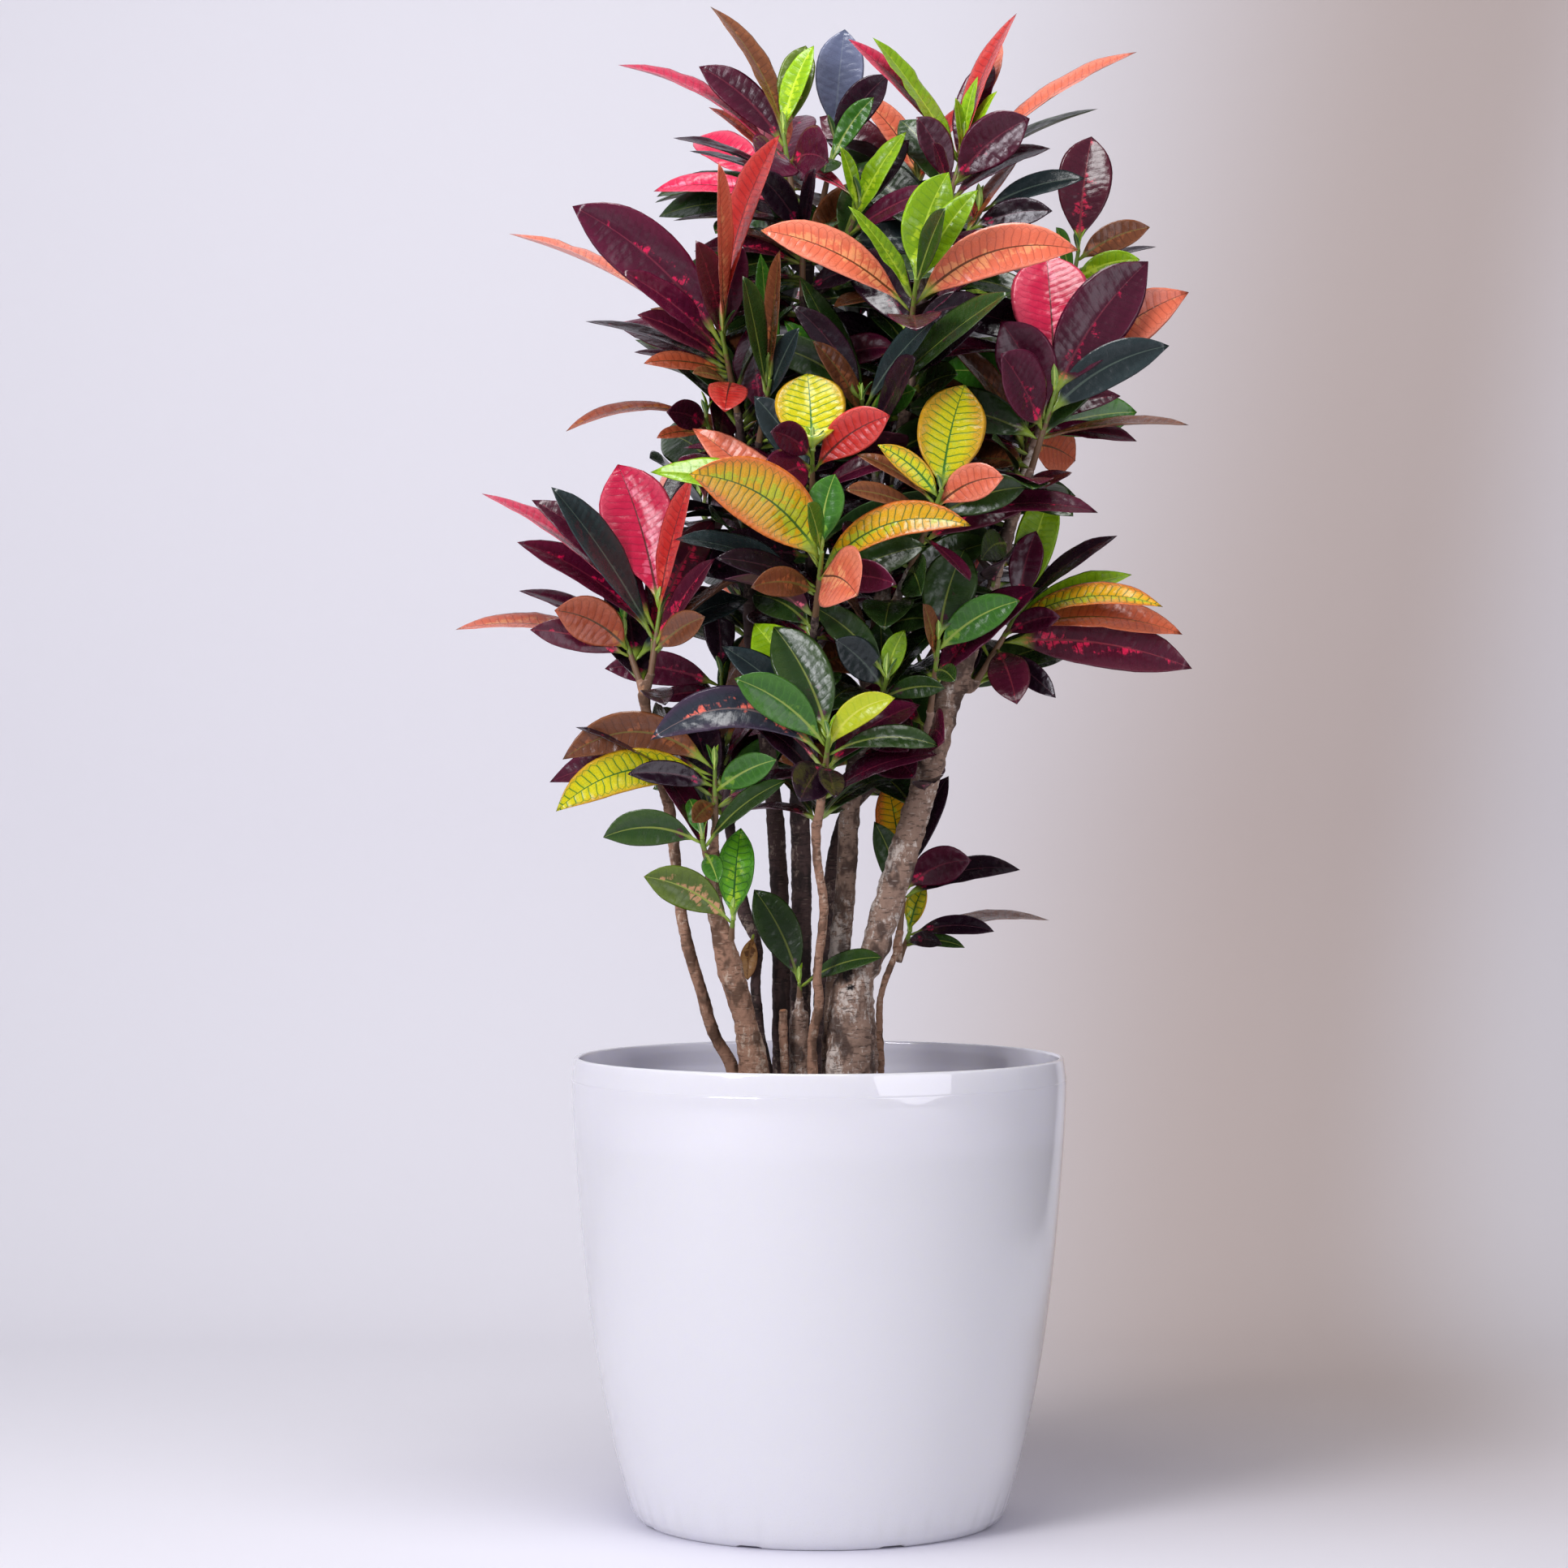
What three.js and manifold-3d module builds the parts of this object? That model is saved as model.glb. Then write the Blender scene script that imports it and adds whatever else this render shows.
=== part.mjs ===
// A potted croton: woody canes in a round glossy planter, with leathery coloured leaves.
//
// Millimetres, +Z up. The origin is the centre of the planter's underside, and the
// plant is seen from the -Y side, so depth grows along +Y, away from the viewer.
//
// Each cane is one solid with its twigs, and each leafy shoot is one solid: a green
// stem with its leaves fused to it, their roots sunk to the stem's centre line.

import * as THREE from "three";
import { mergeVertices } from "three/addons/utils/BufferGeometryUtils.js";
import Module from "manifold-3d";

const wasm = await Module();
wasm.setup();

// ---- driving dimensions -------------------------------------------------------

const POT_HEIGHT = 283.5;
const POT_BASE_RADIUS = 110;
const POT_WALL = 3.3;
const POT_FLOOR = 4;
const POT_SIDES = 36;
// The outer wall from the foot to the widest place under the lip: [radius, height].
const POT_OUTLINE = [
  [114.8, 5.5], [121.5, 27.5], [127, 49.5], [136, 94],
  [142.3, 137.5], [148.7, 204], [152.3, 265.5],
];
// The inner wall follows it, but in fewer steps where soil hides it.
const INNER_HEIGHTS = [POT_FLOOR, 27.5, 94, 204, 265.5];
const LIP_RADIUS = 150.8;
const LIP_ROUND = 1.6;
const FOOT_NOTCHES = 8;
const NOTCH = { wide: 14, deep: 8, high: 1.6 };

const SOIL_TOP = 235;
const SOIL_MOUND = 5;
// Where the mound's top begins to fall away, as shares of its radius and its rise.
const SOIL_SHOULDER = { across: 0.6, up: 0.7 };
const SOIL_SIDES = 24;
const SOIL_INSET = 1.2;               // keeps its corners clear of the pot's flats
const SOIL_GAP = 0.3;                 // over the planter's floor

const CANE_FOOT = 175;
const CANE_UPRIGHT = 245;             // up to here a cane's foot stands upright
const CANE_SIDES = 6;
const HOLE_SIDES = 7;
const HOLE_CLEARANCE = 0.5;
const TWIG_RADIUS = { root: 3.1, end: 2.4 };
const TWIG_SIDES = 4;
const TWIG_RINGS = 2;
const STEM_RADIUS = { root: 2.4, end: 1.3 };
const STEM_SIDES = 4;
const JOINT_GAP = 0.7;                // between a twig's end and the green stem on it
const TWIG_BEND = 0.45;               // of its span, how early it turns into line with it
const HEIGHT_STEPS = 24;              // halvings that find a height on a cane's line
const SAME_POINT = 1e-4;              // corners nearer than this are one

// The upright plane through the planter's axis is where across, up and width were
// measured. EYE is the viewer's place, level with the middle of the plant.
const EYE = new THREE.Vector3(-21.5, -2400, 451);
const UP = new THREE.Vector3(0, 0, 1);

const LEAF_THICKNESS = 1.5;
const LEAF_LEAST_WIDTH = 0.27;       // of its length, when it is seen edge-on
const LEAF_MOST_WIDTH = 0.5;
const LEAF_FOLD = 0.2;               // how far the edges rise, of half the width
const LEAF_ROUNDNESS = 0.8;          // under 1, a blade is fuller than a plain arc
const LEAF_BELLY = 1.12;             // over 1, its widest place lies nearer the tip
const PETIOLE_SHARE = 0.1;
const PETIOLE_WIDTH = 0.07;
const MOST_TURN = THREE.MathUtils.degToRad(105);
const BLADE_CORNERS = 4;             // one edge, midrib above, other edge, midrib below
// A leaf's length decides how many sections it gets, and a strong arch adds one.
const LONG_LEAF = 70;
const SMALL_LEAF = 52;
const ARCHED = 8;
const SMALL_STATIONS = [0.22, 0.62];
const SHORT_STATIONS = [0.14, 0.42, 0.74];
const LONG_STATIONS = [0.14, 0.36, 0.6, 0.82];
const BLADE_START = 0.25;            // a blade is told from its stalk past this share

const CLEAR = 1.0;                   // kept free around a leaf
const DEPTH_STEP = 13;               // how far a leaf is bent clear at each try
const MEASURED_TRIES = 13;
const FILL_TRIES = 9;
const FORK_TRIES = 25;
const FORK_STEP = 9;                 // how far a fork moves up or down its cane at each try

// Factors of the seeded draw, which takes the fraction of a steep sine wave.
const DRAW = { row: 12.9898, column: 78.233, height: 43758.5453 };
const HEADING_STEP = 0.35;           // radians
const GOLDEN_ANGLE = THREE.MathUtils.degToRad(137.508);
const FRONT_FILL = 2;                // leaves added behind the measured ones
const BACK_FILL = 8;
const FILL_FORWARD = 12;             // how far one of them may reach towards the viewer
const FILL_LENGTH = { least: 62, most: 92 };
const FILL_WIDTH = 0.38;
const FILL_ARCH = 0.09;
const FILL_RISE = { least: THREE.MathUtils.degToRad(-4), most: THREE.MathUtils.degToRad(58) };
const FILL_TURN = { least: THREE.MathUtils.degToRad(-5), most: THREE.MathUtils.degToRad(60) };
const TOP_ROOT = 0.97;               // of the stem's length, for its youngest leaf
const ROOT_SPAN = 0.82;              // the share of a stem that bears leaves

// The crown's outline as seen from the front: [height, left edge, right edge].
const CROWN = [
  [430, -120, 80], [500, -105, 80], [530, -140, 180], [600, -150, 165], [650, -110, 160],
  [690, -105, 195], [740, -130, 205], [790, -120, 180], [850, -85, 150], [905, -50, 100],
];

// ---- the canes: [across, up, depth, diameter] from the soil upwards -------------

const CANES = {
  left_slender: [
    [-53, 274, -25, 8.5], [-65, 298, -30, 7.5], [-73, 325, -35, 7.5], [-80, 348, -40, 7.5],
    [-85, 373, -45, 7], [-92, 435, -55, 7], [-97, 453, -58, 7], [-106, 493, -64, 6.5],
    [-108, 507, -66, 7.5],
  ],
  left_stout: [
    [-40, 274, -45, 19], [-46, 308, -50, 14], [-56, 342, -56, 15], [-64, 378, -62, 10],
    [-66, 410, -66, 8],
  ],
  dark_left: [
    [-23, 274, 22, 12], [-23, 302, 22, 12], [-23, 340, 24, 11.5], [-26, 417, 26, 11],
    [-32, 476, 22, 10], [-42, 545, 15, 9], [-42, 585, 5, 8.5], [-46, 640, -5, 7.5],
    [-48, 668, -8, 6.5],
  ],
  back_slender: [
    [-32, 274, -2, 7], [-36, 295, 0, 6.5], [-39, 327, 3, 6.5], [-38, 352, 12, 6.5],
    [-47, 372, 24, 6.5], [-54, 420, 40, 6], [-58, 460, 50, 5.5],
  ],
  centre_dark: [
    [-12, 274, -1, 13], [-11, 352, 0, 12.5], [-11, 410, 0, 12], [-12, 440, 0, 12],
    [-9, 500, -5, 11], [-4, 570, -12, 10], [-4, 640, -15, 9], [-6, 720, -15, 8],
    [-8, 772, -12, 6.5],
  ],
  front_slender: [
    [-4, 274, -42, 6.5], [-4, 295, -43, 6], [0, 314, -46, 6], [-1, 332, -49, 6],
    [0, 345, -51, 5.5], [3, 375, -58, 5.5], [-1, 403, -66, 5.5], [-2, 427, -75, 6],
  ],
  middle: [
    [8, 274, 10, 14], [10, 319, 6, 13], [13, 352, 4, 13], [16, 383, 2, 12.5],
    [20, 442, -4, 12.5], [25, 473, -10, 12], [29, 494, -14, 11], [38, 560, -22, 10],
    [46, 620, -26, 9], [54, 690, -28, 8], [62, 750, -26, 7], [68, 785, -24, 6],
  ],
  back_dark: [
    [0, 274, 43, 10], [7, 390, 42, 9.5], [18, 434, 42, 9], [37, 457, 43, 8.5],
    [43, 485, 46, 8], [48, 540, 56, 7.5], [46, 620, 66, 7], [38, 700, 68, 6.5],
    [30, 760, 60, 6],
  ],
  main: [
    [20, 274, -32, 32], [20, 301, -32, 30], [20, 319, -32, 27], [24, 333, -31, 23],
    [33, 346, -30, 17], [40, 370, -30, 18], [51, 403, -32, 18], [63, 444, -34, 17],
    [71, 471, -36, 16.5], [79, 501, -38, 16], [88, 522, -40, 14], [92, 535, -41, 11],
    [105, 567, -44, 8], [113, 595, -46, 7.5], [124, 640, -46, 6.5],
  ],
  cut_stub: [[-21, 274, -34, 5.5], [-22, 295, -35, 5.5], [-22, 312, -36, 5.5]],
  short_stub: [[-12, 274, -24, 12.5], [-12, 295, -25, 12], [-12, 311, -26, 11]],
  right_thin: [[38, 274, 10, 5], [38, 320, 12, 4.5], [46, 343, 20, 4.5], [49, 352, 23, 4]],
};

// ---- the shoots -----------------------------------------------------------------
//
// Each shoot stands on a twig that forks from its cane at about the height given. Its bud
// is [across, up, depth], and its green stem, of the length given, leans across and away
// by those shares of its height. Each leaf, from the youngest down, is
// [colour, across, up, depth, width, arch]: where its tip is seen, how far behind the
// bud it lies, how broad it looks, and how far its middle rises above a straight line.
// Colours: B blackish purple, C copper, D slate with a salmon patch, G dark green, E mid
// green, F plain yellow, H silvery slate, K olive, L lime, M maroon, V maroon with pink
// marks, O orange brown, P pink, R red, S salmon, T dark slate green, Y yellow with green
// veins, A amber with green veins, N green with dark veins.

const SHOOTS = {
  crest_left: {
    cane: "centre_dark", fork: 745, bud: [-22, 852, -10], stem: 50, lean: [-0.15, 0],
    leaves: [
      ["L", -3, 906, 10, 15, 4], ["K", -8, 906, 25, 22, 3], ["C", -67, 930, 10, 14, 8],
      ["M", -74, 893, 5, 22, 6], ["S", -24, 874, 22, 10, 2], ["M", -34, 827, -45, 35, 6],
      ["M", 6, 834, -45, 35, 6], ["P", -124, 894, 10, 12, 12], ["S", -68, 868, 15, 10, 3],
      ["B", -90, 849, -10, 7, 4], ["B", -80, 841, 15, 5, 3],
    ],
  },
  crest_middle: {
    cane: "centre_dark", fork: 755, bud: [10, 847, 20], stem: 45, lean: [0.2, 0.3],
    leaves: [
      ["H", 16, 916, 12, 30, 2], ["B", 43, 888, 15, 22, 4], ["G", 3, 827, -35, 18, 4],
      ["E", 34, 874, -25, 15, 4],
    ],
  },
  crest_right: {
    cane: "middle", fork: 770, bud: [90, 844, -20], stem: 48, lean: [0.3, 0],
    leaves: [
      ["L", 98, 887, 0, 7, 2], ["L", 110, 878, -6, 7, 2], ["L", 84, 874, -8, 7, 2],
      ["P", 18, 910, -5, 14, 4], ["L", 33, 911, 18, 14, 3], ["R", 122, 926, 15, 12, 6],
      ["M", 106, 898, 5, 20, 4], ["S", 112, 910, 25, 18, 3], ["S", 196, 902, -10, 12, 8],
      ["G", 172, 867, 10, 8, 6], ["M", 130, 861, -20, 30, 6], ["M", 60, 862, -20, 22, 5],
      ["V", 70, 846, -40, 11, 3],
    ],
  },
  upper_left: {
    cane: "centre_dark", fork: 715, bud: [-10, 802, -40], stem: 50, lean: [0, -0.3],
    leaves: [
      ["P", -102, 816, 10, 15, 10], ["B", -90, 798, 20, 6, 4], ["B", -40, 828, -28, 20, 4],
      ["B", -2, 830, -35, 18, 4], ["G", 3, 784, -35, 16, 4],
    ],
  },
  upper_middle: {
    cane: "centre_dark", fork: 735, bud: [26, 810, -20], stem: 48, lean: [0.4, -0.1],
    leaves: [
      ["P", -37, 831, 0, 12, 8], ["L", 13, 844, -14, 11, 3], ["B", 56, 848, 12, 18, 4],
      ["L", 54, 853, -8, 15, 3], ["M", 72, 817, -25, 15, 4],
    ],
  },
  front_top: {
    cane: "middle", fork: 680, bud: [60, 762, -100], stem: 55, lean: [0.1, -0.8],
    leaves: [
      ["L", 80, 828, -5, 28, 5], ["L", 98, 817, -22, 18, 4], ["G", 78, 806, -38, 15, 3],
      ["L", 18, 807, -5, 11, 3], ["S", 160, 780, 0, 29, 16], ["S", -36, 792, 0, 25, 10],
      ["M", 60, 730, -45, 32, 5], ["B", 103, 747, 15, 18, 4],
    ],
  },
  right_top: {
    cane: "middle", fork: 750, bud: [100, 804, -10], stem: 48, lean: [0.6, 0.2],
    leaves: [
      ["T", 164, 824, -15, 15, 5], ["R", 89, 810, -42, 12, 3], ["B", 144, 804, -25, 18, 4],
      ["O", 124, 837, 10, 9, 3],
    ],
  },
  right_back_top: {
    cane: "main", fork: 628, bud: [160, 780, 30], stem: 60, lean: [0.2, 0.4],
    leaves: [
      ["V", 168, 850, 25, 34, 4], ["C", 204, 794, 0, 18, 4], ["B", 208, 782, 10, 6, 2],
      ["L", 198, 774, -20, 15, 4], ["E", 146, 794, -42, 15, 4],
    ],
  },
  left_top: {
    cane: "dark_left", fork: 650, bud: [-60, 730, -60], stem: 55, lean: [-0.2, -0.6],
    leaves: [
      ["R", -24, 851, 10, 18, 10], ["S", -62, 834, 16, 20, 4], ["M", -47, 784, 8, 20, 3],
      ["M", -76, 786, -12, 25, 4], ["M", -152, 807, -10, 38, 10], ["S", -191, 790, 6, 11, 10],
      ["M", -122, 767, 14, 16, 5], ["V", -112, 740, -20, 15, 4], ["B", -144, 736, 10, 8, 4],
      ["O", -108, 710, -5, 12, 4], ["M", -114, 717, 16, 7, 3], ["R", -58, 680, -42, 24, 4],
      ["C", -78, 704, -12, 7, 3],
    ],
  },
  right_large: {
    cane: "main", fork: 612, bud: [146, 694, -66], stem: 50, lean: [0.3, -0.2],
    leaves: [
      ["P", 140, 778, 36, 48, 4], ["M", 203, 773, 10, 40, 6], ["S", 228, 754, 20, 32, 10],
      ["T", 216, 721, 0, 25, 8], ["M", 112, 736, -5, 35, 5], ["M", 112, 716, -38, 35, 4],
    ],
  },
  right_fan: {
    cane: "main", fork: 630, bud: [128, 670, -12], stem: 30, lean: [0.1, 0.6],
    leaves: [
      ["M", 186, 690, 6, 15, 5], ["M", 196, 662, -6, 12, 4], ["E", 196, 680, -32, 25, 4],
      ["C", 228, 672, 16, 7, 5], ["O", 158, 650, 32, 30, 4], ["B", 96, 684, -12, 18, 4],
    ],
  },
  heart_dark: {
    cane: "middle", fork: 610, bud: [26, 688, -60], stem: 45, lean: [-0.2, -0.4],
    leaves: [
      ["G", -40, 722, -10, 22, 8], ["B", -17, 746, 5, 18, 6], ["T", 72, 737, -20, 15, 5],
      ["G", 118, 754, 10, 18, 5], ["C", -4, 724, -6, 14, 4], ["E", 60, 694, -42, 18, 4],
      ["G", -12, 764, 12, 18, 3], ["E", -22, 737, 0, 18, 3], ["B", 60, 714, -32, 15, 3],
    ],
  },
  heart_left: {
    cane: "dark_left", fork: 625, bud: [-30, 700, -70], stem: 45, lean: [0.2, -0.8],
    leaves: [
      ["C", -24, 780, 8, 12, 3], ["E", -36, 778, 22, 14, 3], ["G", -47, 764, -6, 15, 3],
      ["T", -12, 732, -25, 15, 3],
    ],
  },
  left_low_top: {
    cane: "dark_left", fork: 595, bud: [-70, 677, -30], stem: 45, lean: [-0.3, -0.4],
    leaves: [
      ["O", -156, 668, 0, 9, 10], ["M", -94, 680, -30, 18, 3], ["O", -100, 664, -16, 8, 3],
      ["B", -96, 620, -26, 15, 2], ["M", -52, 654, -36, 15, 3],
    ],
  },
  gold_middle: {
    cane: "centre_dark", fork: 575, bud: [-4, 657, -100], stem: 50, lean: [0, -1],
    leaves: [
      ["Y", -7, 704, 26, 42, 3], ["M", -30, 668, -30, 19, 4], ["M", -34, 632, -36, 28, 4],
      ["R", 44, 678, -12, 25, 6], ["T", -40, 690, 6, 22, 3],
    ],
  },
  gold_left: {
    cane: "centre_dark", fork: 500, bud: [2, 594, -130], stem: 55, lean: [0.1, -1.2],
    leaves: [
      ["E", 10, 642, 0, 22, 3], ["E", -7, 624, -26, 18, 3], ["A", -80, 642, -5, 39, 14],
      ["L", -104, 643, 10, 22, 18], ["S", -78, 670, 26, 25, 8], ["A", 94, 610, -10, 21, 16],
      ["S", 24, 567, -28, 40, 6], ["M", 48, 574, -20, 20, 5], ["B", -64, 590, -6, 15, 4],
      ["C", -42, 572, -22, 18, 5],
    ],
  },
  gold_right: {
    cane: "middle", fork: 540, bud: [76, 632, -110], stem: 60, lean: [0.4, -0.9],
    leaves: [
      ["Y", 90, 697, 22, 40, 4], ["Y", 36, 660, -6, 14, 4], ["C", 23, 654, 12, 10, 4],
      ["S", 114, 640, -18, 22, 6], ["C", 16, 632, -18, 12, 4], ["G", 128, 634, 0, 22, 5],
      ["M", 172, 618, 0, 15, 10], ["M", 93, 576, -22, 8, 2],
    ],
  },
  pink_left: {
    cane: "left_slender", fork: 506, bud: [-98, 557, -70], stem: 38, lean: [0.15, -0.1],
    leaves: [
      ["P", -124, 648, 32, 44, 4], ["B", -84, 644, 20, 12, 3], ["R", -78, 640, 8, 14, 4],
      ["V", -64, 614, -12, 22, 5], ["P", -208, 630, 16, 10, 8], ["M", -177, 626, 4, 22, 10],
      ["M", -186, 600, 0, 18, 8], ["T", -165, 634, 26, 20, 4], ["V", -64, 590, -28, 12, 3],
      ["C", -70, 554, -24, 18, 3],
    ],
  },
  pink_left_low: {
    cane: "left_slender", fork: 494, bud: [-120, 542, -60], stem: 28, lean: [-0.35, 0.1],
    leaves: [
      ["E", -118, 592, 0, 8, 1], ["M", -185, 570, 6, 10, 5], ["S", -224, 546, 0, 10, 8],
      ["O", -163, 558, -28, 28, 6], ["V", -178, 546, -22, 18, 4],
    ],
  },
  back_left_low: {
    cane: "back_slender", fork: 440, bud: [-60, 517, 60], stem: 40, lean: [0, 0.2],
    leaves: [
      ["B", -64, 567, 10, 20, 3], ["M", -132, 522, 0, 22, 6], ["M", -100, 503, -12, 11, 3],
      ["C", -32, 552, -32, 8, 4],
    ],
  },
  right_low: {
    cane: "main", fork: 492, bud: [126, 562, -40], stem: 55, lean: [0.6, 0],
    leaves: [
      ["L", 144, 632, 26, 25, 4], ["M", 134, 607, 8, 20, 3], ["B", 184, 604, 0, 11, 5],
      ["L", 193, 580, 12, 14, 4], ["A", 212, 560, -10, 14, 12], ["O", 224, 543, -12, 18, 10],
      ["M", 149, 554, -28, 15, 4], ["V", 230, 522, -16, 31, 8], ["V", 122, 500, -46, 25, 4],
      ["B", 146, 504, -30, 15, 3],
    ],
  },
  right_low_front: {
    cane: "main", fork: 455, bud: [74, 540, -90], stem: 50, lean: [0.1, -0.6],
    leaves: [
      ["G", 90, 596, 16, 32, 4], ["E", 124, 564, -5, 22, 5], ["C", 64, 562, -16, 15, 3],
      ["G", 84, 514, -32, 12, 3],
    ],
  },
  green_front: {
    cane: "front_slender", fork: 424, bud: [6, 480, -120], stem: 36, lean: [0.1, -0.8],
    leaves: [
      ["G", -28, 548, 20, 32, 5], ["L", -40, 550, 46, 35, 4], ["T", -60, 536, 22, 20, 5],
      ["E", -52, 516, 0, 25, 6], ["F", 47, 504, -5, 17, 8], ["G", 74, 474, 6, 14, 8],
      ["D", -104, 478, -5, 25, 24], ["B", -12, 440, -36, 25, 3], ["B", 10, 442, -30, 15, 3],
    ],
  },
  green_middle: {
    cane: "middle", fork: 465, bud: [42, 516, -80], stem: 40, lean: [0.3, -1.2],
    leaves: [
      ["G", -3, 560, 6, 20, 5], ["L", 53, 546, 0, 14, 2], ["T", 10, 540, -14, 22, 3],
      ["G", 38, 552, 20, 18, 3], ["G", 78, 510, -10, 14, 4],
    ],
  },
  left_leaf_fan: {
    cane: "left_stout", fork: 408, bud: [-64, 460, -80], stem: 36, lean: [0, -0.2],
    leaves: [
      ["C", -158, 466, 0, 25, 20], ["M", -166, 452, 12, 22, 10], ["Y", -162, 434, -15, 25, 16],
      ["B", -118, 457, -22, 15, 4], ["E", -26, 466, -26, 19, 3], ["B", -150, 486, 20, 6, 4],
      ["C", -78, 427, -30, 13, 2],
    ],
  },
  left_leaf_low: {
    cane: "left_stout", fork: 382, bud: [-72, 417, -92], stem: 22, lean: [-0.2, -0.5],
    leaves: [
      ["E", -80, 442, -10, 12, 2], ["G", -133, 418, -5, 22, 8], ["G", -20, 453, -10, 12, 5],
      ["E", -62, 390, -28, 13, 2],
    ],
  },
  left_cane_sprout: {
    cane: "left_stout", fork: 340, bud: [-53, 367, -78], stem: 14, lean: [0.1, -0.7],
    leaves: [
      ["N", -48, 424, 16, 22, 3], ["K", -108, 394, -5, 24, 6],
    ],
  },
  stub_sprout: {
    cane: "short_stub", fork: 310, bud: [-12, 327, -30], stem: 8, lean: [0, -0.2],
    leaves: [
      ["G", -40, 386, 10, 25, 4], ["G", 39, 344, -12, 11, 5],
    ],
  },
  right_back_low: {
    cane: "right_thin", fork: 348, bud: [53, 392, 20], stem: 32, lean: [0.1, 0],
    leaves: [
      ["B", 80, 456, 20, 18, 4], ["A", 42, 453, 32, 25, 3], ["M", 94, 404, -20, 24, 6],
      ["B", 124, 398, 6, 15, 8], ["G", 34, 428, 12, 18, 3],
    ],
  },
  right_back_sprout: {
    cane: "right_thin", fork: 332, bud: [56, 360, 36], stem: 22, lean: [0.4, 0.6],
    leaves: [
      ["Y", 66, 390, -10, 14, 2], ["B", 108, 360, -10, 12, 5], ["C", 142, 367, 10, 6, 6],
      ["B", 76, 352, -30, 10, 3], ["G", 90, 350, -12, 8, 4],
    ],
  },
};

// Shoots on the far side, which bear only leaves placed by the rule.
const BACK_SHOOTS = {
  back_low_left: {
    cane: "back_slender", fork: 452, bud: [-40, 560, 105], stem: 55, lean: [0.1, 0.5],
  },
  back_low_middle: {
    cane: "back_dark", fork: 470, bud: [18, 540, 118], stem: 55, lean: [-0.3, 0.9],
  },
  back_low_right: {
    cane: "back_dark", fork: 500, bud: [92, 570, 92], stem: 60, lean: [0.6, 0.6],
  },
  back_middle_left: {
    cane: "dark_left", fork: 560, bud: [-74, 625, 72], stem: 60, lean: [-0.4, 0.8],
  },
  back_middle: {
    cane: "back_dark", fork: 590, bud: [22, 650, 128], stem: 60, lean: [-0.3, 0.9],
  },
  back_middle_right: {
    cane: "back_dark", fork: 580, bud: [112, 640, 70], stem: 65, lean: [0.9, 0.1],
  },
  back_upper_left: {
    cane: "dark_left", fork: 655, bud: [-62, 735, 66], stem: 60, lean: [-0.2, 0.8],
  },
  back_upper: {
    cane: "back_dark", fork: 700, bud: [10, 745, 118], stem: 55, lean: [-0.5, 0.9],
  },
  back_upper_right: {
    cane: "back_dark", fork: 690, bud: [96, 735, 92], stem: 60, lean: [0.9, 0.4],
  },
  back_crest_left: {
    cane: "centre_dark", fork: 765, bud: [-34, 815, 70], stem: 50, lean: [-0.3, 1],
  },
  back_crest_right: {
    cane: "back_dark", fork: 755, bud: [62, 822, 82], stem: 50, lean: [0.4, 0.3],
  },
};

const LEAF_COLOURS = {
  A: "#d99a1c", B: "#2a1420", C: "#6e4530", D: "#2b2f36", E: "#2c6b2a", F: "#bcc80e",
  G: "#26401f", H: "#6a7088", K: "#4c6018", L: "#7ea40e", M: "#431226", N: "#3f7d22",
  O: "#a8583c", P: "#cf2450", R: "#b83a34", S: "#d0735c", T: "#263234", V: "#521c2e",
  Y: "#d9d02a",
};
const BACK_COLOUR = "M";
const FINISHES = {
  pot: { color: "#ececf4", roughness: 0.16, metalness: 0 },
  soil: { color: "#3a2b22", roughness: 0.95, metalness: 0 },
  bark: { color: "#7d6858", roughness: 0.85, metalness: 0 },
  leaf: { roughness: 0.32, metalness: 0 },
};

// ---- solids ---------------------------------------------------------------------

/** A seeded draw between 0 and 1 that depends only on its two whole numbers. */
function draw(row, column) {
  const wave = Math.sin(row * DRAW.row + column * DRAW.column) * DRAW.height;
  return wave - Math.floor(wave);
}

function between(range, share) {
  return range.least + (range.most - range.least) * share;
}

/** Moves a point measured on the axis plane along its line of sight to its depth. */
function seen([across, up, depth]) {
  return EYE.clone().lerp(new THREE.Vector3(across, 0, up), 1 - depth / EYE.y);
}

/** A closed triangle list becomes a solid. */
function solidOf(positions, triangles) {
  const mesh = { numProp: 3, vertProperties: new Float32Array(positions) };
  mesh.triVerts = new Uint32Array(triangles);
  return new wasm.Manifold(new wasm.Mesh(mesh));
}

/** A three.js geometry becomes a solid once its shared vertices are merged. */
function solidOfGeometry(geometry) {
  const bare = geometry.clone();
  bare.deleteAttribute("normal");
  bare.deleteAttribute("uv");
  const merged = mergeVertices(bare, SAME_POINT);
  return solidOf(merged.attributes.position.array, merged.index.array);
}

/** The one body that matters: loose scraps and sealed voids are dropped. */
function largestBody(solid) {
  const bodies = solid.decompose();
  return bodies.reduce((best, body) => (body.volume() > best.volume() ? body : best));
}

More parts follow.
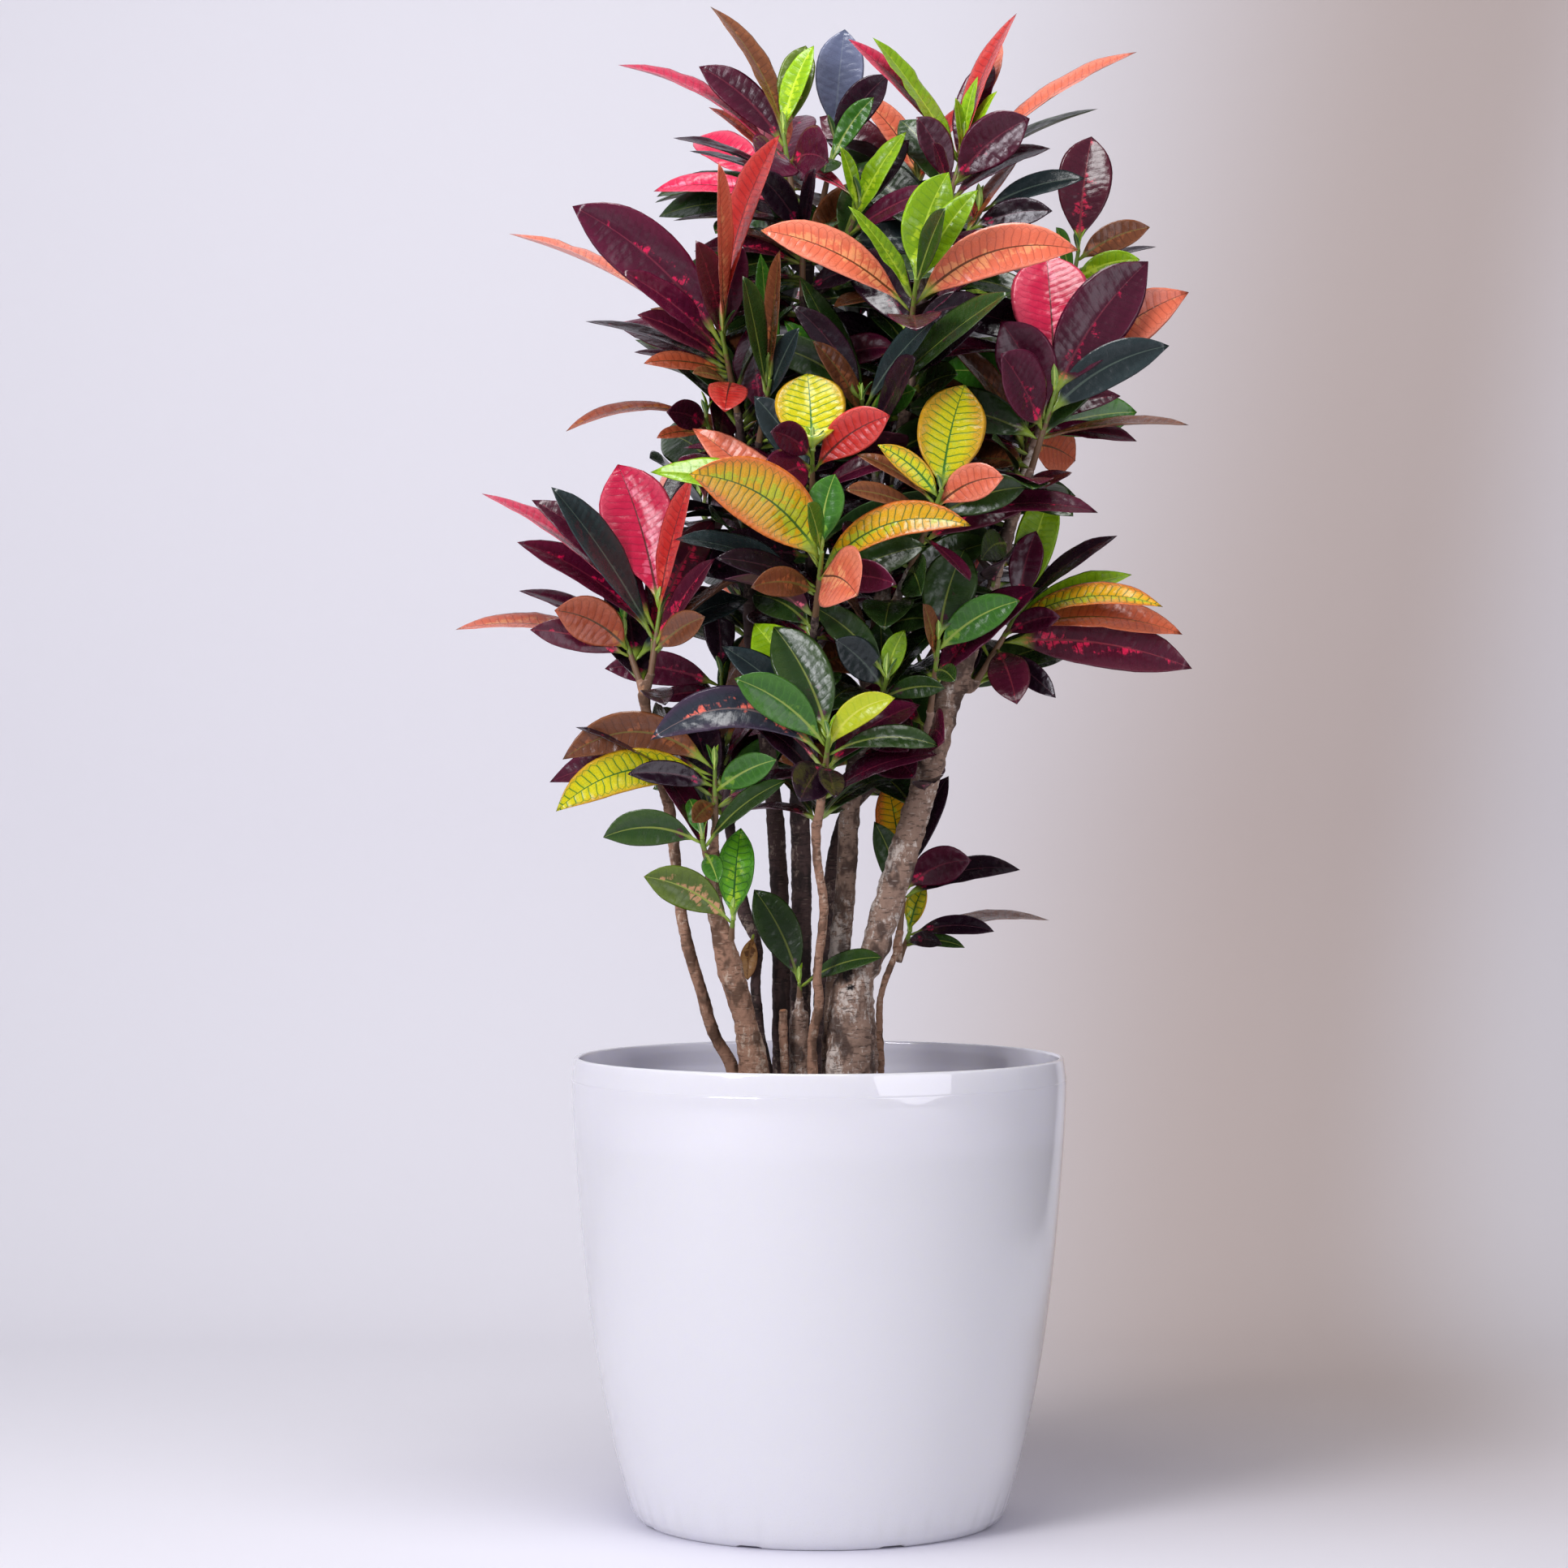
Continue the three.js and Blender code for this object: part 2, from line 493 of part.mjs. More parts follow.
/** A round bar of changing radius along a line, closed by a flat face at each end. */
function loft(curve, radiusAt, sides, rings) {
  const frames = curve.computeFrenetFrames(rings, false);
  const positions = [];
  const triangles = [];
  for (let ring = 0; ring <= rings; ring += 1) {
    const centre = curve.getPointAt(ring / rings);
    const radius = radiusAt(ring / rings);
    for (let side = 0; side < sides; side += 1) {
      const angle = (2 * Math.PI * side) / sides;
      const corner = centre.clone();
      corner.addScaledVector(frames.normals[ring], radius * Math.cos(angle));
      corner.addScaledVector(frames.binormals[ring], radius * Math.sin(angle));
      positions.push(...corner.toArray());
    }
  }
  for (let ring = 0; ring < rings; ring += 1) {
    for (let side = 0; side < sides; side += 1) {
      const next = (side + 1) % sides;
      const low = ring * sides;
      const high = low + sides;
      triangles.push(low + side, low + next, high + side);
      triangles.push(low + next, high + next, high + side);
    }
  }
  const last = rings * sides;
  for (let side = 1; side < sides - 1; side += 1) {
    triangles.push(0, side + 1, side);
    triangles.push(last, last + side, last + side + 1);
  }
  return solidOf(positions, triangles);
}

// ---- planter and soil -----------------------------------------------------------

/** A turned body: the profile starts and ends on the axis. */
function turned(profile, sides) {
  const points = profile.map(([radius, height]) => new THREE.Vector2(radius, height));
  const geometry = new THREE.LatheGeometry(points, sides);
  geometry.rotateX(Math.PI / 2);
  return solidOfGeometry(geometry);
}

/** The planter's wall radius at a height, straight between the outline's points. */
function wallRadius(height) {
  const rows = [[POT_BASE_RADIUS, 0], ...POT_OUTLINE];
  const upper = rows.findIndex((row) => row[1] >= height);
  const [r0, z0] = rows[upper - 1];
  const [r1, z1] = rows[upper];
  return r0 + ((r1 - r0) * (height - z0)) / (z1 - z0);
}

function makePot() {
  const rim = POT_HEIGHT - LIP_ROUND;
  const profile = [
    [0, 0], [POT_BASE_RADIUS, 0], ...POT_OUTLINE, [LIP_RADIUS, rim],
    [LIP_RADIUS - LIP_ROUND, POT_HEIGHT], [LIP_RADIUS - POT_WALL, rim],
    ...[...INNER_HEIGHTS].reverse().map((height) => [wallRadius(height) - POT_WALL, height]),
    [0, POT_FLOOR],
  ];
  let pot = turned(profile, POT_SIDES);
  for (let index = 0; index < FOOT_NOTCHES; index += 1) {
    const notch = new THREE.BoxGeometry(NOTCH.deep * 2, NOTCH.wide, NOTCH.high * 2);
    notch.translate(POT_BASE_RADIUS, 0, 0);
    notch.rotateZ((2 * Math.PI * (index + 0.5)) / FOOT_NOTCHES);
    pot = pot.subtract(solidOfGeometry(notch));
  }
  return pot;
}

function makeSoil(canes) {
  const wall = INNER_HEIGHTS.filter((height) => height > POT_FLOOR && height < SOIL_TOP);
  const inner = (height) => wallRadius(height) - POT_WALL - SOIL_INSET;
  const floor = POT_FLOOR + SOIL_GAP;
  const profile = [
    [0, floor], [inner(floor), floor], ...wall.map((height) => [inner(height), height]),
    [inner(SOIL_TOP), SOIL_TOP],
    [inner(SOIL_TOP) * SOIL_SHOULDER.across, SOIL_TOP + SOIL_MOUND * SOIL_SHOULDER.up],
    [0, SOIL_TOP + SOIL_MOUND],
  ];
  let soil = turned(profile, SOIL_SIDES);
  for (const cane of canes) {
    soil = soil.subtract(cane.hole);
  }
  return soil;
}

// ---- canes ----------------------------------------------------------------------

/** A smooth line through a cane's measured points, upright where it stands in the soil. */
function caneLine(rows) {
  const points = rows.map(([across, up, depth]) => seen([across, up, depth]));
  const upright = [CANE_FOOT, (CANE_FOOT + SOIL_TOP) / 2, CANE_UPRIGHT];
  const foot = upright.map((height) => new THREE.Vector3(points[0].x, points[0].y, height));
  return new THREE.CatmullRomCurve3([...foot, ...points], false, "centripetal");
}

/** The plain hole that a cane stands in, clear of it all round. */
function caneHole(line, radius) {
  const foot = line.getPoint(0);
  const widest = (radius + HOLE_CLEARANCE) / Math.cos(Math.PI / HOLE_SIDES);
  const depth = CANE_UPRIGHT - CANE_FOOT;
  const hole = new THREE.CylinderGeometry(widest, widest, depth, HOLE_SIDES);
  hole.rotateX(Math.PI / 2);
  hole.translate(foot.x, foot.y, CANE_FOOT - HOLE_CLEARANCE + depth / 2);
  return solidOfGeometry(hole);
}

/** The cane's radius where its line has the height given. */
function caneRadius(rows, height) {
  const upper = rows.findIndex((row) => row[1] >= height);
  if (upper === 0) {
    return rows[0][3] / 2;
  }
  if (upper < 0) {
    return rows[rows.length - 1][3] / 2;
  }
  const [low, high] = [rows[upper - 1], rows[upper]];
  const share = (height - low[1]) / (high[1] - low[1]);
  return (low[3] + (high[3] - low[3]) * share) / 2;
}

function makeCane(name, rows) {
  const line = caneLine(rows);
  const radiusAt = (share) => caneRadius(rows, line.getPointAt(share).z);
  return {
    name,
    line,
    solid: loft(line, radiusAt, CANE_SIDES, rows.length),
    hole: caneHole(line, rows[0][3] / 2),
  };
}

/** The share of a cane's line at which it reaches a height. */
function shareAtHeight(line, height) {
  let [low, high] = [0, 1];
  for (let step = 0; step < HEIGHT_STEPS; step += 1) {
    const middle = (low + high) / 2;
    if (line.getPointAt(middle).z < height) {
      low = middle;
    } else {
      high = middle;
    }
  }
  return high;
}

// ---- twigs and stems ------------------------------------------------------------

/** A green stem's straight line, from its foot on the twig to its bud. */
function stemLine({ bud, lean, stem }) {
  const top = seen(bud);
  const along = new THREE.Vector3(lean[0], lean[1], 1).normalize();
  return new THREE.LineCurve3(top.clone().addScaledVector(along, -stem), top);
}

/** The twig's line: it leaves its cane at a height and ends in line with the stem. */
function twigLine(cane, height, stem) {
  const start = cane.line.getPointAt(shareAtHeight(cane.line, height));
  const lean = stem.getTangent(0);
  const end = stem.v1.clone().addScaledVector(lean, -JOINT_GAP);
  const bend = end.clone().addScaledVector(lean, -TWIG_BEND * start.distanceTo(end));
  return new THREE.QuadraticBezierCurve3(start, bend, end);
}

function taper(radius) {
  return (share) => radius.root + (radius.end - radius.root) * share;
}

// ---- leaves ---------------------------------------------------------------------

/** How broad a blade is along its length, as a share of its full width. */
function outline(share) {
  if (share <= PETIOLE_SHARE) {
    return PETIOLE_WIDTH;
  }
  const blade = (share - PETIOLE_SHARE) / (1 - PETIOLE_SHARE);
  const belly = Math.sin(Math.PI * blade ** LEAF_BELLY) ** LEAF_ROUNDNESS;
  return Math.max(belly, PETIOLE_WIDTH);
}

/** The upward side of a leaf that points along a direction. */
function upperSide(along) {
  return UP.clone().addScaledVector(along, -along.dot(UP)).normalize();
}

/** A leaf whose tip, visible width and arch were measured. */
function measuredLeaf(root, tip, width, arch) {
  const along = tip.clone().sub(root);
  const length = along.length();
  along.normalize();
  const upper = upperSide(along);
  const side = new THREE.Vector3().crossVectors(along, upper);
  if (side.y > 0) {
    side.negate();
  }
  const most = Math.max(width, LEAF_LEAST_WIDTH * length);
  const full = Math.min(most, Math.max(LEAF_MOST_WIDTH * length, width));
  const facing = Math.atan2(-side.y, -upper.y);
  const wanted = facing - Math.acos(Math.min(1, width / full));
  const turn = Math.min(wanted, MOST_TURN);
  const normal = upper.clone().multiplyScalar(Math.cos(turn));
  normal.addScaledVector(side, Math.sin(turn));
  return { root, tip, upper, normal, arch, length, width: full };
}

/** A leaf placed by the rule, with its blade turned about its length. */
function filledLeaf(root, heading, rise, turn, length) {
  const along = new THREE.Vector3(
    Math.cos(heading) * Math.cos(rise), Math.sin(heading) * Math.cos(rise), Math.sin(rise),
  );
  const upper = upperSide(along);
  const tip = root.clone().addScaledVector(along, length);
  const normal = upper.clone().applyAxisAngle(along, turn);
  const [arch, width] = [length * FILL_ARCH, length * FILL_WIDTH];
  return { root, tip, upper, normal, arch, length, width, filled: true };
}

/** The shares of a leaf's length at which its section is made. */
function stationsOf(leaf) {
  if (leaf.filled || leaf.length < SMALL_LEAF) {
    return SMALL_STATIONS;
  }
  return leaf.length > LONG_LEAF && leaf.arch > ARCHED ? LONG_STATIONS : SHORT_STATIONS;
}

/**
 * The blade's solid: a folded lens on an arched midrib, split alike on both faces.
 * It starts at a share of its length, and is larger all round by a spare amount.
 */
function leafSolid(leaf, from = 0, spare = 0) {
  const middle = leaf.root.clone().lerp(leaf.tip, 0.5).addScaledVector(leaf.upper, 2 * leaf.arch);
  const midrib = new THREE.QuadraticBezierCurve3(leaf.root, middle, leaf.tip);
  const stations = stationsOf(leaf).filter((share) => share > from);
  const positions = [...midrib.getPoint(from).toArray()];
  for (const share of stations) {
    const centre = midrib.getPoint(share);
    const along = midrib.getTangent(share);
    const normal = leaf.normal.clone().addScaledVector(along, -leaf.normal.dot(along)).normalize();
    const side = new THREE.Vector3().crossVectors(along, normal);
    const half = (leaf.width / 2) * outline(share);
    const rise = half * LEAF_FOLD;
    const thick = LEAF_THICKNESS / 2 + spare;
    for (const [out, lift] of [[-half - spare, rise], [0, thick], [half + spare, rise], [0, -thick]]) {
      const corner = centre.clone().addScaledVector(side, out).addScaledVector(normal, lift);
      positions.push(...corner.toArray());
    }
  }
  positions.push(...leaf.tip.toArray());
  const tip = stations.length * BLADE_CORNERS + 1;
  const triangles = [];
  for (let corner = 0; corner < BLADE_CORNERS; corner += 1) {
    const next = (corner + 1) % BLADE_CORNERS;
    triangles.push(0, 1 + next, 1 + corner);
    triangles.push(tip, tip - BLADE_CORNERS + corner, tip - BLADE_CORNERS + next);
    for (let station = 0; station < stations.length - 1; station += 1) {
      const near = 1 + station * BLADE_CORNERS;
      const far = near + BLADE_CORNERS;
      const [a, b, c, d] = [near + corner, near + next, far + corner, far + next];
      // The diagonal always starts on the near midrib, so both faces are split alike.
      const split = corner % 2 === 0 ? [a, b, c, c, b, d] : [a, d, c, a, b, d];
      triangles.push(...split);
    }
  }
  return solidOf(positions, triangles);
}

// ---- keeping clear --------------------------------------------------------------

const placed = [];

function addPlaced(owner, solid) {
  placed.push({ owner, solid, box: solid.boundingBox() });
}

/** Keeps the first try that crosses no leaf at all, or else no other node. */
function placeLeaf(shoot, tries) {
  const fitting = tries.filter((leaf) => isClear([shoot.name], leafSolid(leaf, 0, CLEAR)));
  const open = fitting.find((leaf) => {
    const blade = leafSolid(leaf, BLADE_START, CLEAR);
    return shoot.blades.every((other) => blade.intersect(other).isEmpty());
  });
  const leaf = open ?? fitting[0];
  if (leaf) {
    shoot.leaves.push(leafSolid(leaf));
    shoot.blades.push(leafSolid(leaf, BLADE_START));
    addPlaced(shoot.name, leafSolid(leaf));
  }
}

function boxesMeet(one, other) {
  return [0, 1, 2].every((axis) => one.min[axis] < other.max[axis] && other.min[axis] < one.max[axis]);
}

/** True where a solid crosses nothing of another node. */
function isClear(owners, solid) {
  const box = solid.boundingBox();
  return placed.every((other) => owners.includes(other.owner) || !boxesMeet(box, other.box)
    || solid.intersect(other.solid).isEmpty());
}

/** Alternating steps: 0, -1, 1, -2, 2 and so on. */
function swing(attempt) {
  return attempt % 2 === 0 ? attempt / 2 : -(attempt + 1) / 2;
}

// ---- assembling the shoots ------------------------------------------------------

/** Where the leaf of an order number starts: from the bud down the stem. */
function rootOf(line, order, count) {
  return line.getPoint(TOP_ROOT - (ROOT_SPAN * order) / count);
}

function placeMeasured(shoot, plan, count) {
  plan.leaves.forEach(([, across, up, depth, width, arch], order) => {
    const root = rootOf(shoot.line, order, count);
    const tries = Array.from({ length: MEASURED_TRIES }, (_, attempt) => {
      const away = plan.bud[2] + depth + DEPTH_STEP * swing(attempt);
      return measuredLeaf(root, seen([across, up, away]), width, arch);
    });
    placeLeaf(shoot, tries);
  });
}

/** Is a point within the crown's outline, as seen from the front? */
function withinCrown(point) {
  const scale = 1 + point.y / -EYE.y;
  const across = EYE.x + (point.x - EYE.x) / scale;
  const up = EYE.z + (point.z - EYE.z) / scale;
  const upper = CROWN.findIndex((row) => row[0] >= up);
  if (upper <= 0) {
    return false;
  }
  const [low, high] = [CROWN[upper - 1], CROWN[upper]];
  const share = (up - low[0]) / (high[0] - low[0]);
  const left = low[1] + (high[1] - low[1]) * share;
  const right = low[2] + (high[2] - low[2]) * share;
  return across > left && across < right;
}

function placeFill(shoot, seed, first, count, total) {
  for (let order = 0; order < count; order += 1) {
    const root = rootOf(shoot.line, first + order, total);
    const length = between(FILL_LENGTH, draw(order, seed));
    const tries = Array.from({ length: FILL_TRIES }, (_, attempt) => {
      const heading = seed + order * GOLDEN_ANGLE + HEADING_STEP * swing(attempt);
      const rise = between(FILL_RISE, draw(seed, order + attempt));
      const turn = between(FILL_TURN, draw(seed + attempt, order)) * Math.sign(Math.cos(heading));
      return filledLeaf(root, heading, rise, turn, length);
    });
    const hidden = (leaf) => first === 0 || leaf.tip.y > root.y - FILL_FORWARD;
    placeLeaf(shoot, tries.filter((leaf) => hidden(leaf) && withinCrown(leaf.tip)));
  }
}

// ---- the plant ------------------------------------------------------------------

const canes = Object.entries(CANES).map(([name, rows]) => makeCane(name, rows));
canes.forEach((cane) => addPlaced(cane.name, cane.solid));

const plans = Object.entries({ ...SHOOTS, ...BACK_SHOOTS });
const shoots = plans.map(([name, plan]) => {
  const line = stemLine(plan);
  const stem = loft(line, taper(STEM_RADIUS), STEM_SIDES, 1);
  return { name, plan, line, stem, leaves: [], blades: [] };
});
shoots.forEach((shoot) => addPlaced(shoot.name, shoot.stem));

for (const { name, plan, line } of shoots) {
  const cane = canes.find((entry) => entry.name === plan.cane);
  const tries = Array.from({ length: FORK_TRIES }, (_, attempt) => {
    const path = twigLine(cane, plan.fork + FORK_STEP * swing(attempt), line);
    return loft(path, taper(TWIG_RADIUS), TWIG_SIDES, TWIG_RINGS);
  });
  const twig = tries.find((solid) => isClear([cane.name], solid));
  if (!twig) {
    throw new Error(`no clear way for the twig of ${name}`);
  }
  cane.solid = cane.solid.add(twig);
  addPlaced(cane.name, twig);
}

const leafTotal = (plan) => (plan.leaves ? plan.leaves.length + FRONT_FILL : BACK_FILL);
shoots.filter((shoot) => shoot.plan.leaves).forEach((shoot) => {
  placeMeasured(shoot, shoot.plan, leafTotal(shoot.plan));
});
shoots.forEach((shoot, seed) => {
  const measured = shoot.plan.leaves ? shoot.plan.leaves.length : 0;
  const count = leafTotal(shoot.plan) - measured;
  placeFill(shoot, seed + 1, measured, count, leafTotal(shoot.plan));
});

// ---- the model ------------------------------------------------------------------

function meshOf(name, solid, finish) {
  const mesh = solid.getMesh();
  const geometry = new THREE.BufferGeometry();
  geometry.setAttribute("position", new THREE.BufferAttribute(mesh.vertProperties, 3));
  geometry.setIndex(new THREE.BufferAttribute(mesh.triVerts, 1));
  const node = new THREE.Mesh(geometry, new THREE.MeshStandardMaterial(finish));
  node.name = name;
  return node;
}

const group = new THREE.Group();
group.add(meshOf("pot", makePot(), FINISHES.pot));
group.add(meshOf("soil", makeSoil(canes), FINISHES.soil));
canes.forEach((cane) => group.add(meshOf(`cane_${cane.name}`, cane.solid, FINISHES.bark)));
shoots.forEach(({ name, plan, stem, leaves }) => {
  const solid = largestBody(leaves.reduce((whole, leaf) => whole.add(leaf), stem));
  const colour = LEAF_COLOURS[plan.leaves ? plan.leaves[0][0] : BACK_COLOUR];
  group.add(meshOf(`shoot_${name}`, solid, { ...FINISHES.leaf, color: colour }));
});

export default group;
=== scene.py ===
# %% [markdown]
# # A potted croton, dressed around its solid model
# The plant is several woody canes in a glossy white planter, each cane ending in green
# stems that bear rosettes of leathery leaves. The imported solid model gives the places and
# sizes of all of them. This script replaces its plain solids with finer ones that keep
# their form, and gives each real material its own finish.
# Every length below is in millimetres, but for the few marked as metres, and MM turns it
# to metres.

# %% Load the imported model
import math

import bpy
import numpy as np
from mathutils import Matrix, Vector
from mathutils.bvhtree import BVHTree
from mathutils.kdtree import KDTree


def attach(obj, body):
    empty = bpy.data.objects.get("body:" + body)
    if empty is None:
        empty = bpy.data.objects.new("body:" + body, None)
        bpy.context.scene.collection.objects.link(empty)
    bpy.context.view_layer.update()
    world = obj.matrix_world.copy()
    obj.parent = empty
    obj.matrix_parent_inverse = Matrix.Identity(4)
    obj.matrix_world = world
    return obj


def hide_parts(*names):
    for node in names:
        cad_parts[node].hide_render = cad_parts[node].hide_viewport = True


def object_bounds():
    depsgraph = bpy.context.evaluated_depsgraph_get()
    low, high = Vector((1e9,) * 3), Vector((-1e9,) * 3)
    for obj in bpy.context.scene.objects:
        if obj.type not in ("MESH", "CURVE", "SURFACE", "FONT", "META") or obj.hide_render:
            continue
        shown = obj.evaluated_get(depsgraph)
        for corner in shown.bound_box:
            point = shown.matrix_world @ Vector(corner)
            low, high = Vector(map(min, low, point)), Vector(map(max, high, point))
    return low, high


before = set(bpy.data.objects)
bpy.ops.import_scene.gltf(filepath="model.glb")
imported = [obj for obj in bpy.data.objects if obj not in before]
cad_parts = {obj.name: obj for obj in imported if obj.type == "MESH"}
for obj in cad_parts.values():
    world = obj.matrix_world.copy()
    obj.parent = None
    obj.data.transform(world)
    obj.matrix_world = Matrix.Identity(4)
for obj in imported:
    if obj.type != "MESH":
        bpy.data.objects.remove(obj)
CAD_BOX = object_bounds()
MM = 0.001
scene = bpy.context.scene
print("CAD box in mm:", [[round(side / MM) for side in corner] for corner in CAD_BOX])

# %% [markdown]
# ## Helpers for node trees
# A node tree reads best when each node is one line that says its kind, its settings and
# what feeds it, so one helper adds any node, and the kinds and settings that come often
# have short names. Another helper turns colours picked as sRGB hex values, which is how a
# screen shows them, into the linear light that shaders work with.
# The inputs of a MIX node go by number: 0 is the share, 6 and 7 are two colours, 4 and 5
# two vectors, and 2 and 3 two numbers.

# %% Helpers: a colour, a node, a material and a mesh
MATH, VECTOR_MATH, RAMP = "ShaderNodeMath", "ShaderNodeVectorMath", "ShaderNodeMapRange"
MIX, NOISE = "ShaderNodeMix", "ShaderNodeTexNoise"
PLUS, MINUS, TIMES, OVER, TIMES_PLUS, LARGER, SIZE, SIGN, POWER, SCALED, DISTANCE = (
    {"operation": name} for name in (
        "ADD", "SUBTRACT", "MULTIPLY", "DIVIDE", "MULTIPLY_ADD", "MAXIMUM", "ABSOLUTE",
        "SIGN", "POWER", "SCALE", "DISTANCE")
)
SMOOTH = {"interpolation_type": "SMOOTHSTEP"}
COLOURS = {"data_type": "RGBA"}
VECTORS = {"data_type": "VECTOR"}
THREE_NUMBERS = {"data_type": "FLOAT_VECTOR"}


def srgb(hex_colour):
    """An sRGB hex value as a linear colour with full alpha."""
    shares = [int(hex_colour[place:place + 2], 16) / 255 for place in (1, 3, 5)]
    linear = [s / 12.92 if s <= 0.04045 else ((s + 0.055) / 1.055) ** 2.4 for s in shares]
    return (*linear, 1.0)


def feed(tree, node, inputs):
    """Feeds a node's inputs, which are named in a dictionary or come in order in a list.
    Each is a number, a colour, a socket, or a node, which then gives its first output."""
    named = inputs if isinstance(inputs, dict) else dict(enumerate(inputs))
    for name, value in named.items():
        if isinstance(value, bpy.types.Node):
            value = value.outputs[0]
        if isinstance(value, bpy.types.NodeSocket):
            tree.links.new(value, node.inputs[name])
        else:
            node.inputs[name].default_value = value


def add(tree, kind, settings=None, inputs=()):
    """Adds a node of any kind to a tree, with its settings and what feeds it."""
    node = tree.nodes.new(kind)
    for name, value in (settings or {}).items():
        setattr(node, name, value)
    feed(tree, node, inputs)
    return node


def new_material(title, **constants):
    """A material with an empty tree but for its surface shader, whose constants are given."""
    material = bpy.data.materials.new(title)
    material.use_nodes = True
    tree = material.node_tree
    tree.nodes.clear()
    named = {name.replace("_", " "): value for name, value in constants.items()}
    surface = add(tree, "ShaderNodeBsdfPrincipled", inputs=named)
    add(tree, "ShaderNodeOutputMaterial", inputs={"Surface": surface})
    return material, tree, surface


def new_piece(name, points, faces):
    """A smooth mesh from points in metres, as an object in the scene."""
    mesh = bpy.data.meshes.new(name)
    mesh.from_pydata(points, [], faces)
    mesh.shade_smooth()
    piece = bpy.data.objects.new(name, mesh)
    scene.collection.objects.link(piece)
    return piece


print("linear value of a middle grey:", round(srgb("#808080")[0], 3))

# %% [markdown]
# ## The camera
# The plant was seen from about its own middle height, level, from well back. A long lens
# from 2.4 m keeps the verticals upright with no shift. Its focal length follows from how
# wide the picture is where the plant stands.

# %% Camera
EYE_MM = Vector((-21.5, -2400.0, 451.0))
PICTURE_WIDTH = 966.0                 # mm across the picture at the plant's axis
SENSOR_WIDTH = 36.0
FAR_LIMIT = 20.0                      # metres, past the end of the floor

lens = bpy.data.cameras.new("view")
lens.sensor_width = SENSOR_WIDTH
lens.lens = SENSOR_WIDTH * -EYE_MM.y / PICTURE_WIDTH
lens.clip_end = FAR_LIMIT
camera = bpy.data.objects.new("view", lens)
camera.location = EYE_MM * MM
camera.rotation_euler = (math.radians(90), 0, 0)
scene.collection.objects.link(camera)
scene.camera = camera
print("focal length:", round(lens.lens, 1), "mm")

# %% [markdown]
# ## Floor, backdrop and light
# A pale sheet that runs from the floor up behind the plant in one sweep leaves no line at
# the horizon. It is a row of points swept sideways.
# The sheet is matte cotton cloth, woven: no gloss. It is cool towards the window. Behind
# the plant's right side, where it hangs away from the light, shade is painted into its
# colour: warmer and darker. Past the picture's right edge a grey band is painted in for
# the shade of the room there, and the glossy planter reflects it as an upright band. On the
# floor that painted shade fades towards the front. Seen from behind the cloth is clear, so
# that it doesn't hide the plant's back from a viewer who walks round.

# %% Sweep of pale cloth
SWEEP_HALF_WIDTH = 4000
SWEEP_FRONT = -3500
SWEEP_BACK = 1150
SWEEP_RADIUS = 420
SWEEP_TOP = 3200
SWEEP_STEPS = 16


def make_sweep():
    """A sheet on the floor that bends up into a wall."""
    turns = [math.pi / 2 * step / SWEEP_STEPS for step in range(SWEEP_STEPS + 1)]
    bend = [
        (SWEEP_BACK - SWEEP_RADIUS + SWEEP_RADIUS * math.sin(turn),
         SWEEP_RADIUS - SWEEP_RADIUS * math.cos(turn))
        for turn in turns
    ]
    rows = [(SWEEP_FRONT, 0), *bend, (SWEEP_BACK, SWEEP_TOP)]
    points = [
        (side * SWEEP_HALF_WIDTH * MM, y * MM, z * MM) for y, z in rows for side in (-1, 1)
    ]
    faces = [(k, k + 1, k + 3, k + 2) for k in range(0, 2 * len(rows) - 2, 2)]
    sheet = new_piece("sweep", points, faces)
    return sheet


sweep = make_sweep()
print("sweep:", len(sweep.data.polygons), "faces")

# %% Material: matte woven cotton, with painted shade
# The cloth's painted shade: bands of darker and paler tone laid across it.
CLOTH_PAINTED_SHADES = (                       # from where to where each tone comes in, in metres
    (-0.15, 0.36, "#c1b4ae"), (0.4, 0.66, "#e5e2e5"), (0.8, 0.95, "#7a716d"),
)
CLOTH_SHADE = (-0.35, 0.6)            # metres back from the plant, from none to all of it
CLOTH_COLOUR = "#e5e4e9"
CLOTH_SLANT = 0.2                     # how far the tones lie further right for each metre up
cloth, tree, surface = new_material("cotton_backdrop_woven", Roughness=0.95)
place = add(tree, "ShaderNodeTexCoord").outputs["Object"]
parts = add(tree, "ShaderNodeSeparateXYZ", inputs=[place]).outputs
back = add(tree, RAMP, SMOOTH,
           {"Value": parts["Y"], "From Min": CLOTH_SHADE[0], "From Max": CLOTH_SHADE[1]})
slanted = add(tree, MATH, TIMES, [parts["Z"], CLOTH_SLANT])
across = add(tree, MATH, MINUS, [parts["X"], slanted])
colour = srgb(CLOTH_COLOUR)
# Painted shade: a warmer darker band behind the plant, pale again, then a grey band for the room's
# shade past the picture's edge.
for start, end, tone in CLOTH_PAINTED_SHADES:
    share = add(tree, RAMP, SMOOTH, {"Value": across, "From Min": start, "From Max": end})
    colour = add(tree, MIX, COLOURS, {0: share, 6: colour, 7: srgb(tone)}).outputs[2]
# Towards the front of the floor the painted shade fades out.
shaded = add(tree, MIX, COLOURS, {0: back, 6: srgb(CLOTH_COLOUR), 7: colour}).outputs[2]
feed(tree, surface, {"Base Color": shaded})
behind = add(tree, "ShaderNodeNewGeometry").outputs["Backfacing"]
clear = add(tree, "ShaderNodeBsdfTransparent")
one_sided = add(tree, "ShaderNodeMixShader", inputs=[behind, surface, clear])
feed(tree, tree.nodes["Material Output"], {"Surface": one_sided})
sweep.data.materials.append(cloth)
print("cloth:", cloth.name)

# %% [markdown]
# ### Lights
# Three large soft lights stand in for a window on the left, a bright ceiling and a weak
# fill on the right, so leaves keep their colour and the planter gets long soft
# reflections. All aim at the middle of the plant.

